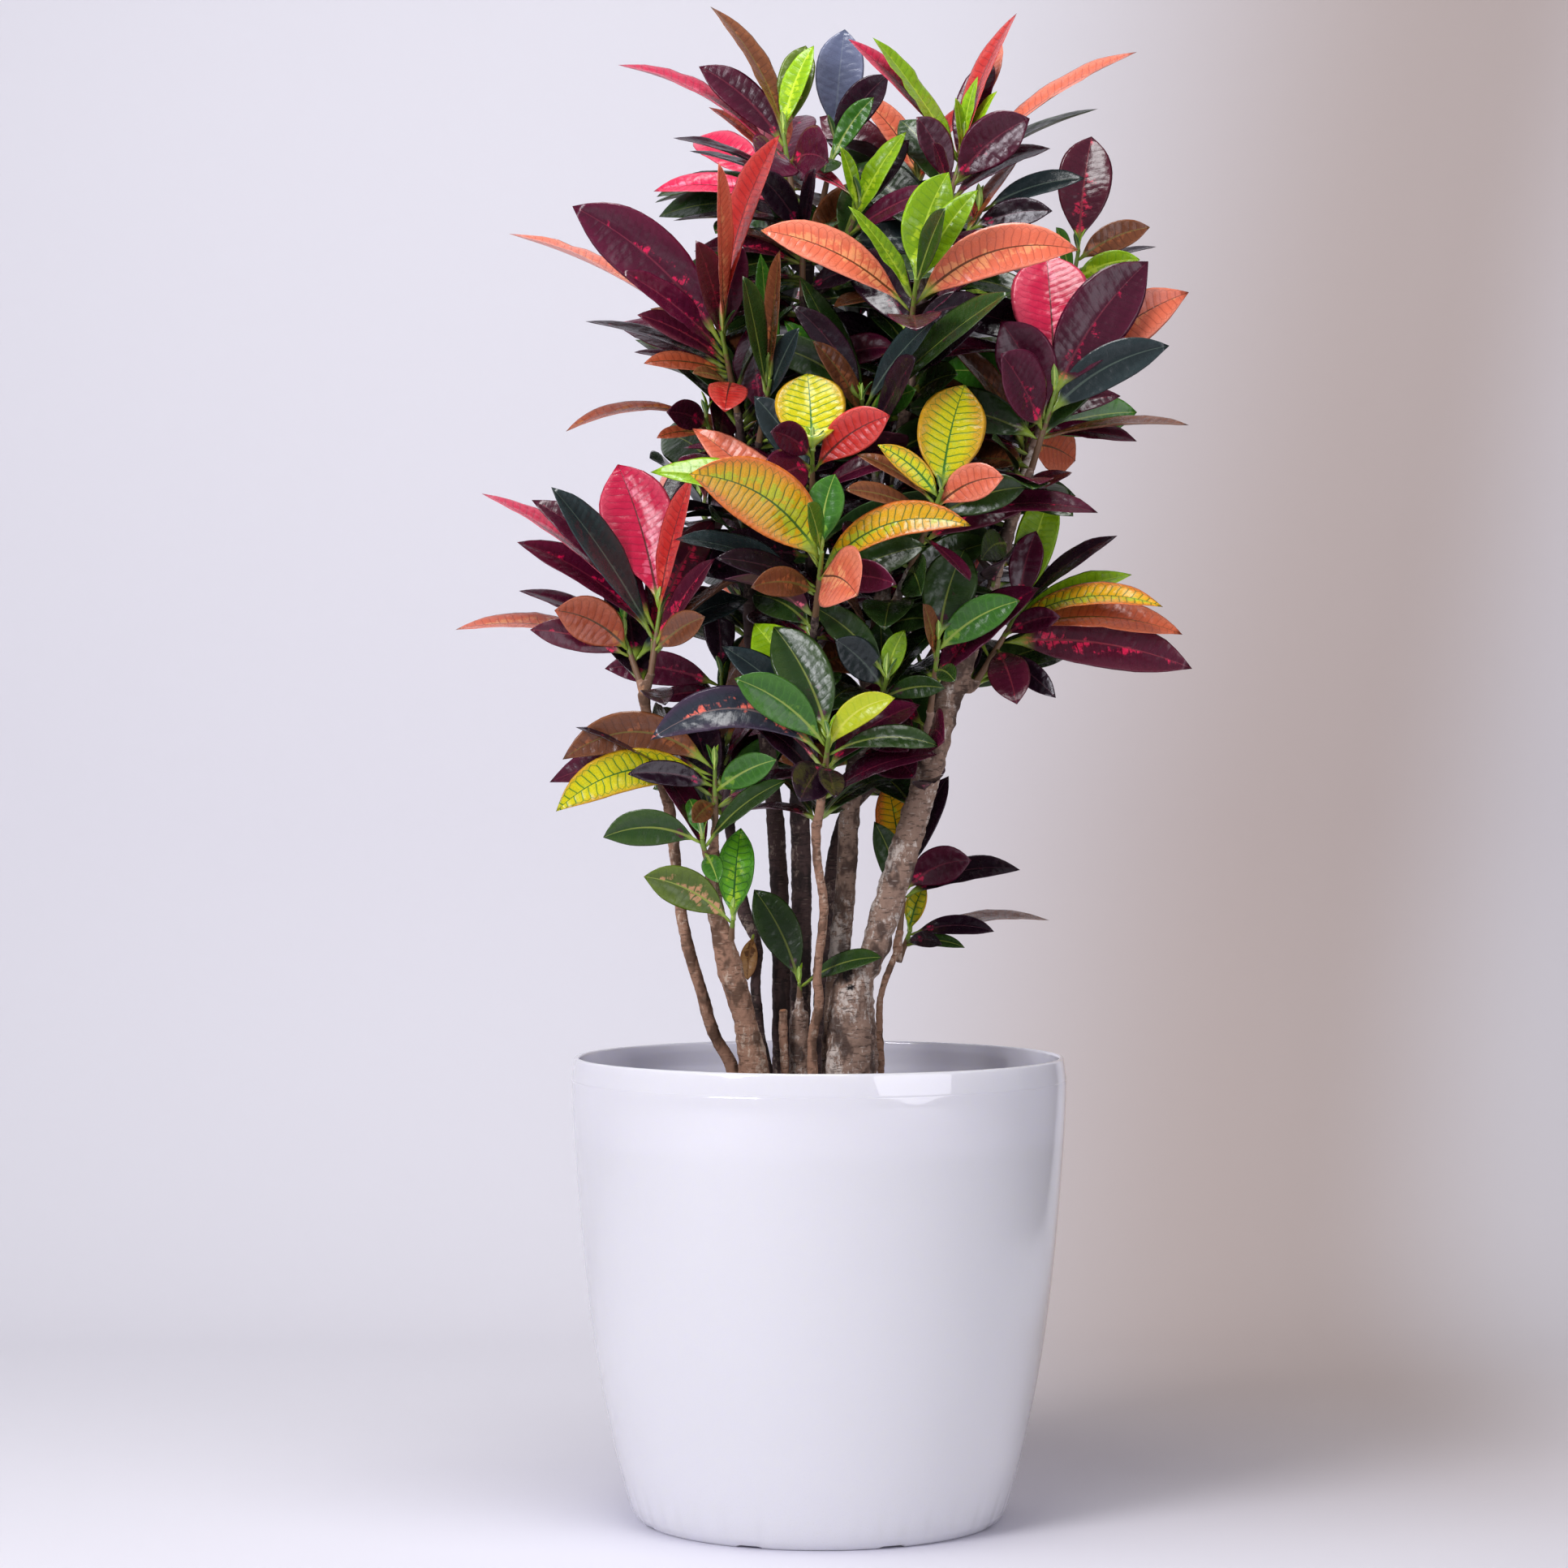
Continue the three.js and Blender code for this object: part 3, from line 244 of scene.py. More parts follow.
# %% Lights: [place in mm, size in mm, watts, colour]
LIGHTS = {
    "window_left": ((-1350, -1600, 1150), 850, 30, "#f8f6ff"),
    "ceiling": ((-100, -350, 1900), 700, 15, "#ffffff"),
    "fill_right": ((1700, -1800, 900), 1700, 15, "#f5f3ff"),
}
AIM = Vector((0, 0, 500))
ROOM_COLOUR = "#eceaf3"
ROOM_STRENGTH = 0.32
for name, (spot, size, watts, colour) in LIGHTS.items():
    light = bpy.data.lights.new(name, "AREA")
    light.shape = "DISK"
    light.size = size * MM
    light.energy = watts
    light.color = srgb(colour)[:3]
    lamp = bpy.data.objects.new(name, light)
    lamp.location = Vector(spot) * MM
    lamp.rotation_euler = (AIM - Vector(spot)).to_track_quat("-Z", "Y").to_euler()
    scene.collection.objects.link(lamp)

world = bpy.data.worlds.new("soft_room")
world.use_nodes = True
feed(world.node_tree, world.node_tree.nodes["Background"],
     {"Color": srgb(ROOM_COLOUR), "Strength": ROOM_STRENGTH})
scene.world = world
scene.view_settings.view_transform = "Standard"
print("lights:", ", ".join(LIGHTS))

# %% [markdown]
# ## The planter
# A thin-walled planter is moulded in one piece of glossy white plastic. A turned profile
# is its natural description: foot, swelling wall, a fine parting line under the lip, the
# rounded lip and the inner wall. The profile is spun in mesh code instead of with a Screw
# modifier, because the foot isn't round all the way: it has notches that let water run
# off, and the shallow dimples that the mould leaves above them.

# %% Planter sizes, as in the solid model
POT_HEIGHT = 283.5
POT_BASE_RADIUS = 110.0
POT_WALL = 3.3
POT_FLOOR = 4.0
POT_OUTLINE = [                       # [radius, height] of the outer wall, foot to lip
    (110.0, 0.0), (114.8, 5.5), (121.5, 27.5), (127.0, 49.5), (136.0, 94.0),
    (142.3, 137.5), (148.7, 204.0), (152.3, 265.5), (150.5, 283.5),
]
PARTING_BELOW_LIP = 14.0
PARTING_STEP = 0.14
PARTING_ROWS = (0.12, 0.4, 1.2)       # mm up and down from it: flat, back to the wall, plain
FOOT_ROWS = [1.0, 2.2]                # heights of extra rows round the notches
UNDERSIDE = [(12.0, 0.0), (1.0, 0.0), (0.0, 0.5)]     # [in from the base's edge, height]
FLOOR_EDGE = 3.0                      # mm in from the wall, where the floor's fan starts
LIP_STEPS = 8
WALL_ROWS = 44
POT_SEGMENTS = 240
FOOT_NOTCHES = 8
NOTCH_WIDTH = 14.0
NOTCH_HEIGHT = 1.6
NOTCH_SOFT = 1.0                      # mm each way, from whole notch to none
FOOT_WIDTH = 9.0                      # mm in from the base's edge, where the notches end
DIMPLES = 40
DIMPLE_DRIFT = (1.7, 5)               # how far and how often their spacing drifts
DIMPLE_SHARPNESS = 4
DIMPLE_DEPTH = 0.5
DIMPLE_HEIGHTS = (2.0, 24.0)


def smooth_step(value, low, high):
    """0 below low, 1 above high, and a soft ramp between them."""
    share = min(1.0, max(0.0, (value - low) / (high - low)))
    return share * share * (3 - 2 * share)


def wall_radius(height):
    """The outer wall's radius at a height: a cubic through the outline's points."""
    heights = [row[1] for row in POT_OUTLINE]
    upper = next(k for k, z in enumerate(heights) if z >= height and k > 0)
    rows = [POT_OUTLINE[max(0, min(len(heights) - 1, upper + k))] for k in (-2, -1, 0, 1)]
    (r0, z0), (r1, z1), (r2, z2), (r3, z3) = rows
    share = (height - z1) / (z2 - z1)
    enter = (r2 - r0) / (z2 - z0) * (z2 - z1)
    leave = (r3 - r1) / (z3 - z1) * (z2 - z1)
    square, cube = share ** 2, share ** 3
    return ((2 * cube - 3 * square + 1) * r1 + (cube - 2 * square + share) * enter
            + (3 * square - 2 * cube) * r2 + (cube - square) * leave)


def pot_profile():
    """Radius and height pairs from the underside's centre, out, up, over and back in."""
    top = POT_HEIGHT - POT_WALL / 2
    parting = POT_HEIGHT - PARTING_BELOW_LIP
    heights = sorted(
        [top * row / WALL_ROWS for row in range(1, WALL_ROWS + 1)] + FOOT_ROWS
        + [parting + side * away for side in (-1, 1) for away in PARTING_ROWS]
    )
    outer = []
    for height in heights:
        step = PARTING_STEP * (1 - smooth_step(abs(height - parting), *PARTING_ROWS[:2]))
        outer.append((wall_radius(height) - step, height))
    turns = [math.pi * k / LIP_STEPS for k in range(LIP_STEPS + 1)]
    centre = outer[-1][0] - POT_WALL / 2
    lip = [(centre + POT_WALL / 2 * math.cos(t), top + POT_WALL / 2 * math.sin(t)) for t in turns]
    inner = [
        (wall_radius(max(height, POT_FLOOR)) - POT_WALL, max(height, POT_FLOOR))
        for height in reversed(heights) if height > POT_FLOOR
    ]
    under = [(POT_BASE_RADIUS - inward, height) for inward, height in UNDERSIDE]
    return under + outer + lip[1:] + inner[1:] + [(inner[-1][0] - FLOOR_EDGE, POT_FLOOR)]

# %% Spin the profile, notch the foot and press the dimples
def spin(name, profile, segments, shape):
    """Spins a profile that starts and ends near the axis. shape moves (radius, height)
    by the turn, and a point on the axis closes each end."""
    points, faces = [], []
    for radius, height in profile:
        for k in range(segments):
            turn = 2 * math.pi * k / segments
            r, z = shape(radius, height, turn)
            points.append((r * math.cos(turn) * MM, r * math.sin(turn) * MM, z * MM))
    for row in range(len(profile) - 1):
        for k in range(segments):
            low, near = row * segments, (k + 1) % segments
            faces.append((low + k, low + near, low + segments + near, low + segments + k))
    for row, height in ((0, profile[0][1]), (len(profile) - 1, profile[-1][1])):
        points.append((0, 0, height * MM))
        centre = len(points) - 1
        ring = [row * segments + k for k in range(segments)]
        for k in range(segments):
            pair = (ring[(k + 1) % segments], ring[k])
            faces.append((centre, *(pair if row == 0 else pair[::-1])))
    return new_piece(name, points, faces)


def foot_shape(radius, height, turn):
    """Lifts the foot's underside in the notches and presses the dimples above it."""
    on_foot = radius > POT_BASE_RADIUS - FOOT_WIDTH
    spacing = 2 * math.pi / FOOT_NOTCHES
    away = abs((turn % spacing) - spacing / 2) * POT_BASE_RADIUS
    if on_foot and height < NOTCH_HEIGHT:
        half = NOTCH_WIDTH / 2
        inside = 1 - smooth_step(away, half - NOTCH_SOFT, half + NOTCH_SOFT)
        height += (NOTCH_HEIGHT - height) * inside
    low, high = DIMPLE_HEIGHTS
    if low < height < high and radius > wall_radius(height) - POT_WALL / 2:
        band = math.sin(math.pi * (height - low) / (high - low))
        drift = DIMPLE_DRIFT[0] * math.sin(turn * DIMPLE_DRIFT[1])
        fold = max(0.0, math.cos(turn * DIMPLES + drift))
        radius -= DIMPLE_DEPTH * band * fold ** DIMPLE_SHARPNESS
    return radius, height


pot = spin("planter", pot_profile(), POT_SEGMENTS, foot_shape)
print("planter:", len(pot.data.polygons), "faces")

# %% [markdown]
# ### Glossy moulded plastic
# The planter is polypropylene, moulded against a polished tool: white right through, with
# a clear gloss, and thin enough to let light into its inside. That gives the eye long soft
# reflections on a cool white, a pale inner wall, and a surface that is almost but not
# quite flat, because the wall shrank a little as it cooled. Fine dust breaks the gloss
# near the foot.

# %% Material: glossy moulded polypropylene
SHRINK_SIZE = 60.0                    # mm from one low place of the wall to the next
DUST_SIZE = 0.8                       # mm, drawn coarser than real dust so that it shows
DUST_HEIGHT = 60.0                    # mm, up to where dust from the floor settles
PLASTIC_WHITE = "#e9e9fa"
DUST_GREY = "#b9b2a8"

plastic, tree, surface = new_material(
    "polypropylene_moulded_gloss", IOR=1.5, Coat_Weight=0.8, Coat_Roughness=0.02, Coat_IOR=1.6,
    Subsurface_Weight=0.75, Subsurface_Radius=(0.8, 0.8, 1.0), Subsurface_Scale=12 * MM)
place = add(tree, "ShaderNodeTexCoord").outputs["Object"]
sunk = add(tree, NOISE, inputs={"Vector": place, "Scale": 1 / (SHRINK_SIZE * MM), "Detail": 1.0})
specks = add(tree, NOISE, inputs={
    "Vector": place, "Scale": 1 / (DUST_SIZE * MM), "Detail": 2.0, "Roughness": 0.7})
height = add(tree, "ShaderNodeSeparateXYZ", inputs=[place])
low_down = add(tree, RAMP, inputs={
    "Value": height.outputs["Z"], "From Min": 0.0, "From Max": DUST_HEIGHT * MM, "To Min": 1.0,
    "To Max": 0.15})
dusty = add(tree, RAMP, inputs={
    "Value": specks, "From Min": 0.58, "From Max": 0.78, "To Min": 0.0, "To Max": 0.22})
dust = add(tree, MATH, TIMES, [low_down, dusty])
colour = add(tree, MIX, COLOURS, {0: dust, 6: srgb(PLASTIC_WHITE), 7: srgb(DUST_GREY)})
dull = add(tree, RAMP, inputs={"Value": dust, "From Max": 0.2, "To Min": 0.06, "To Max": 0.3})
dent = add(tree, "ShaderNodeBump", inputs={"Strength": 0.25, "Distance": 0.4 * MM, "Height": sunk})
feed(tree, surface, {"Base Color": colour.outputs[2], "Roughness": dull, "Normal": dent})
pot.data.materials.append(plastic)
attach(pot, "root")
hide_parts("pot")
print("planter finished with", plastic.name)

# %% [markdown]
# ## The soil
# Potting soil lies in a low mound, about 48 mm below the planter's lip. Its surface is
# crumbs of peat and bark of every size. Scattering crumbs is what Geometry Nodes do well:
# points are spread over the mound, and each takes a rough crumb, turned, squashed and
# sized by a seeded draw. A bed under them closes the body.

# %% A geometry tree with named inputs, and how it is run
SOCKETS = {
    float: "NodeSocketFloat", int: "NodeSocketInt", Vector: "NodeSocketVector",
    bpy.types.Material: "NodeSocketMaterial",
}


def new_tree(title, sizes):
    """A geometry tree whose inputs are named with their default values."""
    tree = bpy.data.node_groups.new(title, "GeometryNodeTree")
    tree.is_modifier = True
    tree.interface.new_socket("Geometry", in_out="INPUT", socket_type="NodeSocketGeometry")
    for name, value in sizes.items():
        kind = next(socket for known, socket in SOCKETS.items() if isinstance(value, known))
        item = tree.interface.new_socket(name, in_out="INPUT", socket_type=kind)
        item.default_value = value
    tree.interface.new_socket("Geometry", in_out="OUTPUT", socket_type="NodeSocketGeometry")
    return tree, add(tree, "NodeGroupInput").outputs


def plain_mesh(piece):
    """A new mesh with the result of a piece's modifiers."""
    graph = bpy.context.evaluated_depsgraph_get()
    return bpy.data.meshes.new_from_object(piece.evaluated_get(graph), depsgraph=graph)


def grow(name, mesh, tree, **values):
    """Runs a tree on a mesh and keeps the evaluated result as the object's plain mesh."""
    piece = bpy.data.objects.new(name, mesh)
    scene.collection.objects.link(piece)
    modifier = piece.modifiers.new(tree.name, "NODES")
    modifier.node_group = tree
    for item in tree.interface.items_tree:
        if item.in_out == "INPUT" and item.name in values:
            modifier[item.identifier] = values[item.name]
    grown = plain_mesh(piece)
    piece.modifiers.remove(modifier)
    piece.data = grown
    grown.name = name
    return piece

# %% Soil bed
SOIL_TOP = 235.0
SOIL_MOUND = 5.0
SOIL_INSET = 1.2
SOIL_RADIUS = wall_radius(SOIL_TOP) - POT_WALL - SOIL_INSET
BED_SEGMENTS = 96
BED_RINGS = 30
BED_SIDES = (POT_FLOOR + 1, 27.5, 94.0, 204.0)      # heights of the rows up the bed's side
RIM_FADE = 8.0                        # mm in from the bed's rim, over which clods rise
CLODS = ((38.0, 1.6), (13.0, 1.0), (5.0, 0.55))     # [width, height] of the bed's lumps


def lump(x, y):
    """A smooth uneven height from three sizes of clod. The factors of the crossing waves
    share no beat, so the clods don't repeat."""
    total = 0.0
    for width, height in CLODS:
        wave = [math.sin(x / width * 2.1 + 1.3), math.sin(y / width * 2.3 + 0.4),
                math.sin((x + y) / width * 1.7), math.sin((x - y) / width * 1.9)]
        total += height * (wave[0] * wave[1] + wave[2] * wave[3]) / 2
    return total


def bed_shape(radius, height, turn):
    """Lifts and sinks the bed's top into clods, but keeps its rim and sides."""
    if height >= SOIL_TOP:
        x, y = radius * math.cos(turn), radius * math.sin(turn)
        height += lump(x, y) * (1 - smooth_step(radius, SOIL_RADIUS - RIM_FADE, SOIL_RADIUS))
    return radius, height


sides = [(wall_radius(height) - POT_WALL - SOIL_INSET, height) for height in BED_SIDES]
bottom = (sides[0][0] / 2, BED_SIDES[0])
shares = [ring / BED_RINGS for ring in range(BED_RINGS)]
top = [(SOIL_RADIUS * (1 - s), SOIL_TOP + SOIL_MOUND * smooth_step(s, 0, 1)) for s in shares]
bed = spin("soil", [bottom, *sides, *top], BED_SEGMENTS, bed_shape)
print("soil bed:", len(bed.data.polygons), "faces")

# %% [markdown]
# ### Potting soil
# Damp peat with shreds of composted bark: nearly black where it is wet, brown on the dry
# tips of the crumbs, quite without gloss.

# %% Material: damp peat and bark
CRUMB = 2.4                           # mm, a usual crumb
SHRED = 6.0                           # mm, a usual shred of bark
WET_PEAT, DRY_PEAT, SHRED_BROWN = "#1f1611", "#5a4433", "#6d5540"
peat, tree, surface = new_material("potting_soil_peat", Roughness=0.95)
place = add(tree, "ShaderNodeTexCoord").outputs["Object"]
crumbs = add(tree, NOISE,
             inputs={"Vector": place, "Scale": 1 / (CRUMB * MM), "Detail": 4.0, "Roughness": 0.65})
shreds = add(tree, "ShaderNodeTexVoronoi",
             inputs={"Vector": place, "Scale": 1 / (SHRED * MM)})
brown = add(tree, MIX, COLOURS, {0: crumbs, 6: srgb(WET_PEAT), 7: srgb(DRY_PEAT)})
bits = add(tree, RAMP, inputs={"Value": shreds.outputs["Color"], "From Min": 0.7, "From Max": 0.9})
colour = add(tree, MIX, COLOURS, {0: bits, 6: brown.outputs[2], 7: srgb(SHRED_BROWN)})
rough = add(tree, "ShaderNodeBump",
            inputs={"Strength": 0.8, "Distance": 1.0 * MM, "Height": crumbs})
feed(tree, surface, {"Base Color": colour.outputs[2], "Normal": rough})
print("soil material:", peat.name)

# %% Crumbs scattered over the bed
SCATTER = {"Crumbs per square metre": 42000.0, "Least size": 0.8 * MM, "Most size": 2.9 * MM,
           "Seed": 7, "Finish": peat}
FACING_UP = 0.6                       # least upright share of a face that bears crumbs
ANY_TURN = (6.28, 6.28, 6.28)         # radians about each axis
CRUMB_SHAPES = {0: (0.7, 0.7, 0.5), 1: (1.3, 1.0, 0.9)}      # from flattest to fullest
tree, given = new_tree("scatter_crumbs", SCATTER)
upward = add(tree, "GeometryNodeInputNormal")
lift = add(tree, "ShaderNodeSeparateXYZ", inputs=[upward])
facing_up = add(tree, "FunctionNodeCompare", {"operation": "GREATER_THAN"},
                [lift.outputs["Z"], FACING_UP])
points = add(tree, "GeometryNodeDistributePointsOnFaces", inputs={
    "Mesh": given["Geometry"], "Selection": facing_up,
    "Density": given["Crumbs per square metre"], "Seed": given["Seed"]})
crumb = add(tree, "GeometryNodeMeshIcoSphere", inputs={"Radius": 1.0, "Subdivisions": 1})
turn = add(tree, "FunctionNodeRandomValue", THREE_NUMBERS,
           {1: ANY_TURN, "Seed": given["Seed"]})
size = add(tree, "FunctionNodeRandomValue",
           inputs={2: given["Least size"], 3: given["Most size"], "Seed": given["Seed"]})
squash = add(tree, "FunctionNodeRandomValue", THREE_NUMBERS,
             {**CRUMB_SHAPES, "Seed": given["Seed"]})
shape = add(tree, VECTOR_MATH, SCALED, {0: squash, "Scale": size.outputs[1]})
crumbs_placed = add(tree, "GeometryNodeInstanceOnPoints",
                    inputs={"Points": points, "Instance": crumb, "Rotation": turn, "Scale": shape})
both = add(tree, "GeometryNodeJoinGeometry")
tree.links.new(crumbs_placed.outputs[0], both.inputs[0])
tree.links.new(given["Geometry"], both.inputs[0])
real = add(tree, "GeometryNodeRealizeInstances", inputs=[both])
finished = add(tree, "GeometryNodeSetMaterial", inputs={0: real, "Material": given["Finish"]})
add(tree, "NodeGroupOutput", inputs=[finished])
bed_mesh = bed.data
bpy.data.objects.remove(bed)
soil = grow("soil_bed", bed_mesh, tree, **SCATTER)
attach(soil, "root")
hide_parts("soil")
print("soil with crumbs:", len(soil.data.polygons), "faces")

# %% [markdown]
# ## The canes
# Croton canes are bare woody stems that thicken with age. Each is given by a few measured
# rows: how far across it stands, how high, how far back, and how thick it is. The rows
# were measured on the upright plane through the planter's axis, so a row at some depth
# is moved along the line of sight, which goes through the eye.
# A smooth line through the rows, with the twigs that fork from it, is then swept into
# round bars by Geometry Nodes, because a bar that follows a path is what they do best.

# %% Cane rows: [across, up, depth, diameter], from the soil upwards
CANES = {
    "left_slender": [
        (-53, 274, -25, 8.5), (-65, 298, -30, 7.5), (-73, 325, -35, 7.5), (-80, 348, -40, 7.5),
        (-85, 373, -45, 7), (-92, 435, -55, 7), (-97, 453, -58, 7), (-106, 493, -64, 6.5),
        (-108, 507, -66, 7.5),
    ],
    "left_stout": [
        (-40, 274, -45, 19), (-46, 308, -50, 14), (-56, 342, -56, 15), (-64, 378, -62, 10),
        (-66, 410, -66, 8),
    ],
    "dark_left": [
        (-23, 274, 22, 12), (-23, 302, 22, 12), (-23, 340, 24, 11.5), (-26, 417, 26, 11),
        (-32, 476, 22, 10), (-42, 545, 15, 9), (-42, 585, 5, 8.5), (-46, 640, -5, 7.5),
        (-48, 668, -8, 6.5),
    ],
    "back_slender": [
        (-32, 274, -2, 7), (-36, 295, 0, 6.5), (-39, 327, 3, 6.5), (-38, 352, 12, 6.5),
        (-47, 372, 24, 6.5), (-54, 420, 40, 6), (-58, 460, 50, 5.5),
    ],
    "centre_dark": [
        (-12, 274, -1, 13), (-11, 352, 0, 12.5), (-11, 410, 0, 12), (-12, 440, 0, 12),
        (-9, 500, -5, 11), (-4, 570, -12, 10), (-4, 640, -15, 9), (-6, 720, -15, 8),
        (-8, 772, -12, 6.5),
    ],
    "front_slender": [
        (-4, 274, -42, 6.5), (-4, 295, -43, 6), (0, 314, -46, 6), (-1, 332, -49, 6),
        (0, 345, -51, 5.5), (3, 375, -58, 5.5), (-1, 403, -66, 5.5), (-2, 427, -75, 6),
    ],
    "middle": [
        (8, 274, 10, 14), (10, 319, 6, 13), (13, 352, 4, 13), (16, 383, 2, 12.5),
        (20, 442, -4, 12.5), (25, 473, -10, 12), (29, 494, -14, 11), (38, 560, -22, 10),
        (46, 620, -26, 9), (54, 690, -28, 8), (62, 750, -26, 7), (68, 785, -24, 6),
    ],
    "back_dark": [
        (0, 274, 43, 10), (7, 390, 42, 9.5), (18, 434, 42, 9), (37, 457, 43, 8.5),
        (43, 485, 46, 8), (48, 540, 56, 7.5), (46, 620, 66, 7), (38, 700, 68, 6.5),
        (30, 760, 60, 6),
    ],
    "main": [
        (20, 274, -32, 32), (20, 301, -32, 30), (20, 319, -32, 27), (24, 333, -31, 23),
        (33, 346, -30, 17), (40, 370, -30, 18), (51, 403, -32, 18), (63, 444, -34, 17),
        (71, 471, -36, 16.5), (79, 501, -38, 16), (88, 522, -40, 14), (92, 535, -41, 11),
        (105, 567, -44, 8), (113, 595, -46, 7.5), (124, 640, -46, 6.5),
    ],
    "cut_stub": [(-21, 274, -34, 5.5), (-22, 295, -35, 5.5), (-22, 312, -36, 5.5)],
    "short_stub": [(-12, 274, -24, 12.5), (-12, 295, -25, 12), (-12, 311, -26, 11)],
    "right_thin": [(38, 274, 10, 5), (38, 320, 12, 4.5), (46, 343, 20, 4.5), (49, 352, 23, 4)],
}
CANE_FOOT = 175.0                     # height of its lower end, deep in the soil
LINE_STEPS = 12                       # points of a cane's line between two rows


def seen(across, up, depth):
    """A point measured on the axis plane, moved along its line of sight to its depth."""
    return EYE_MM + (Vector((across, 0, up)) - EYE_MM) * (1 + depth / -EYE_MM.y)


def smooth_line(points, steps):
    """A smooth line through points: a centripetal Catmull-Rom spline, which never loops."""
    ends = [points[0] * 2 - points[1], *points, points[-1] * 2 - points[-2]]
    line = []
    for p0, p1, p2, p3 in zip(ends, ends[1:], ends[2:], ends[3:]):
        d0, d1, d2 = [math.sqrt((b - a).length) for a, b in ((p0, p1), (p1, p2), (p2, p3))]
        enter = ((p1 - p0) / d0 - (p2 - p0) / (d0 + d1) + (p2 - p1) / d1) * d1
        leave = ((p2 - p1) / d1 - (p3 - p1) / (d1 + d2) + (p3 - p2) / d2) * d1
        for k in range(steps):
            t = k / steps
            line.append(p1 + enter * t + (p1 * -3 + p2 * 3 - enter * 2 - leave) * t ** 2
                        + (p1 * 2 - p2 * 2 + enter + leave) * t ** 3)
    return [*line, points[-1]]


def cane_line(rows):
    """The cane's centre line, upright where it stands in the soil."""
    points = [seen(*row[:3]) for row in rows]
    first = points[0]
    upright = [CANE_FOOT, (CANE_FOOT + SOIL_TOP) / 2, SOIL_TOP + 2 * SOIL_MOUND]
    return smooth_line([Vector((first.x, first.y, z)) for z in upright] + points, LINE_STEPS)


def cane_radius(rows, height):
    """The measured radius at a height, straight between the rows."""
    return float(np.interp(height, [row[1] for row in rows], [row[3] / 2 for row in rows]))


cane_lines = {name: cane_line(rows) for name, rows in CANES.items()}
print("canes:", {name: len(line) for name, line in cane_lines.items()})
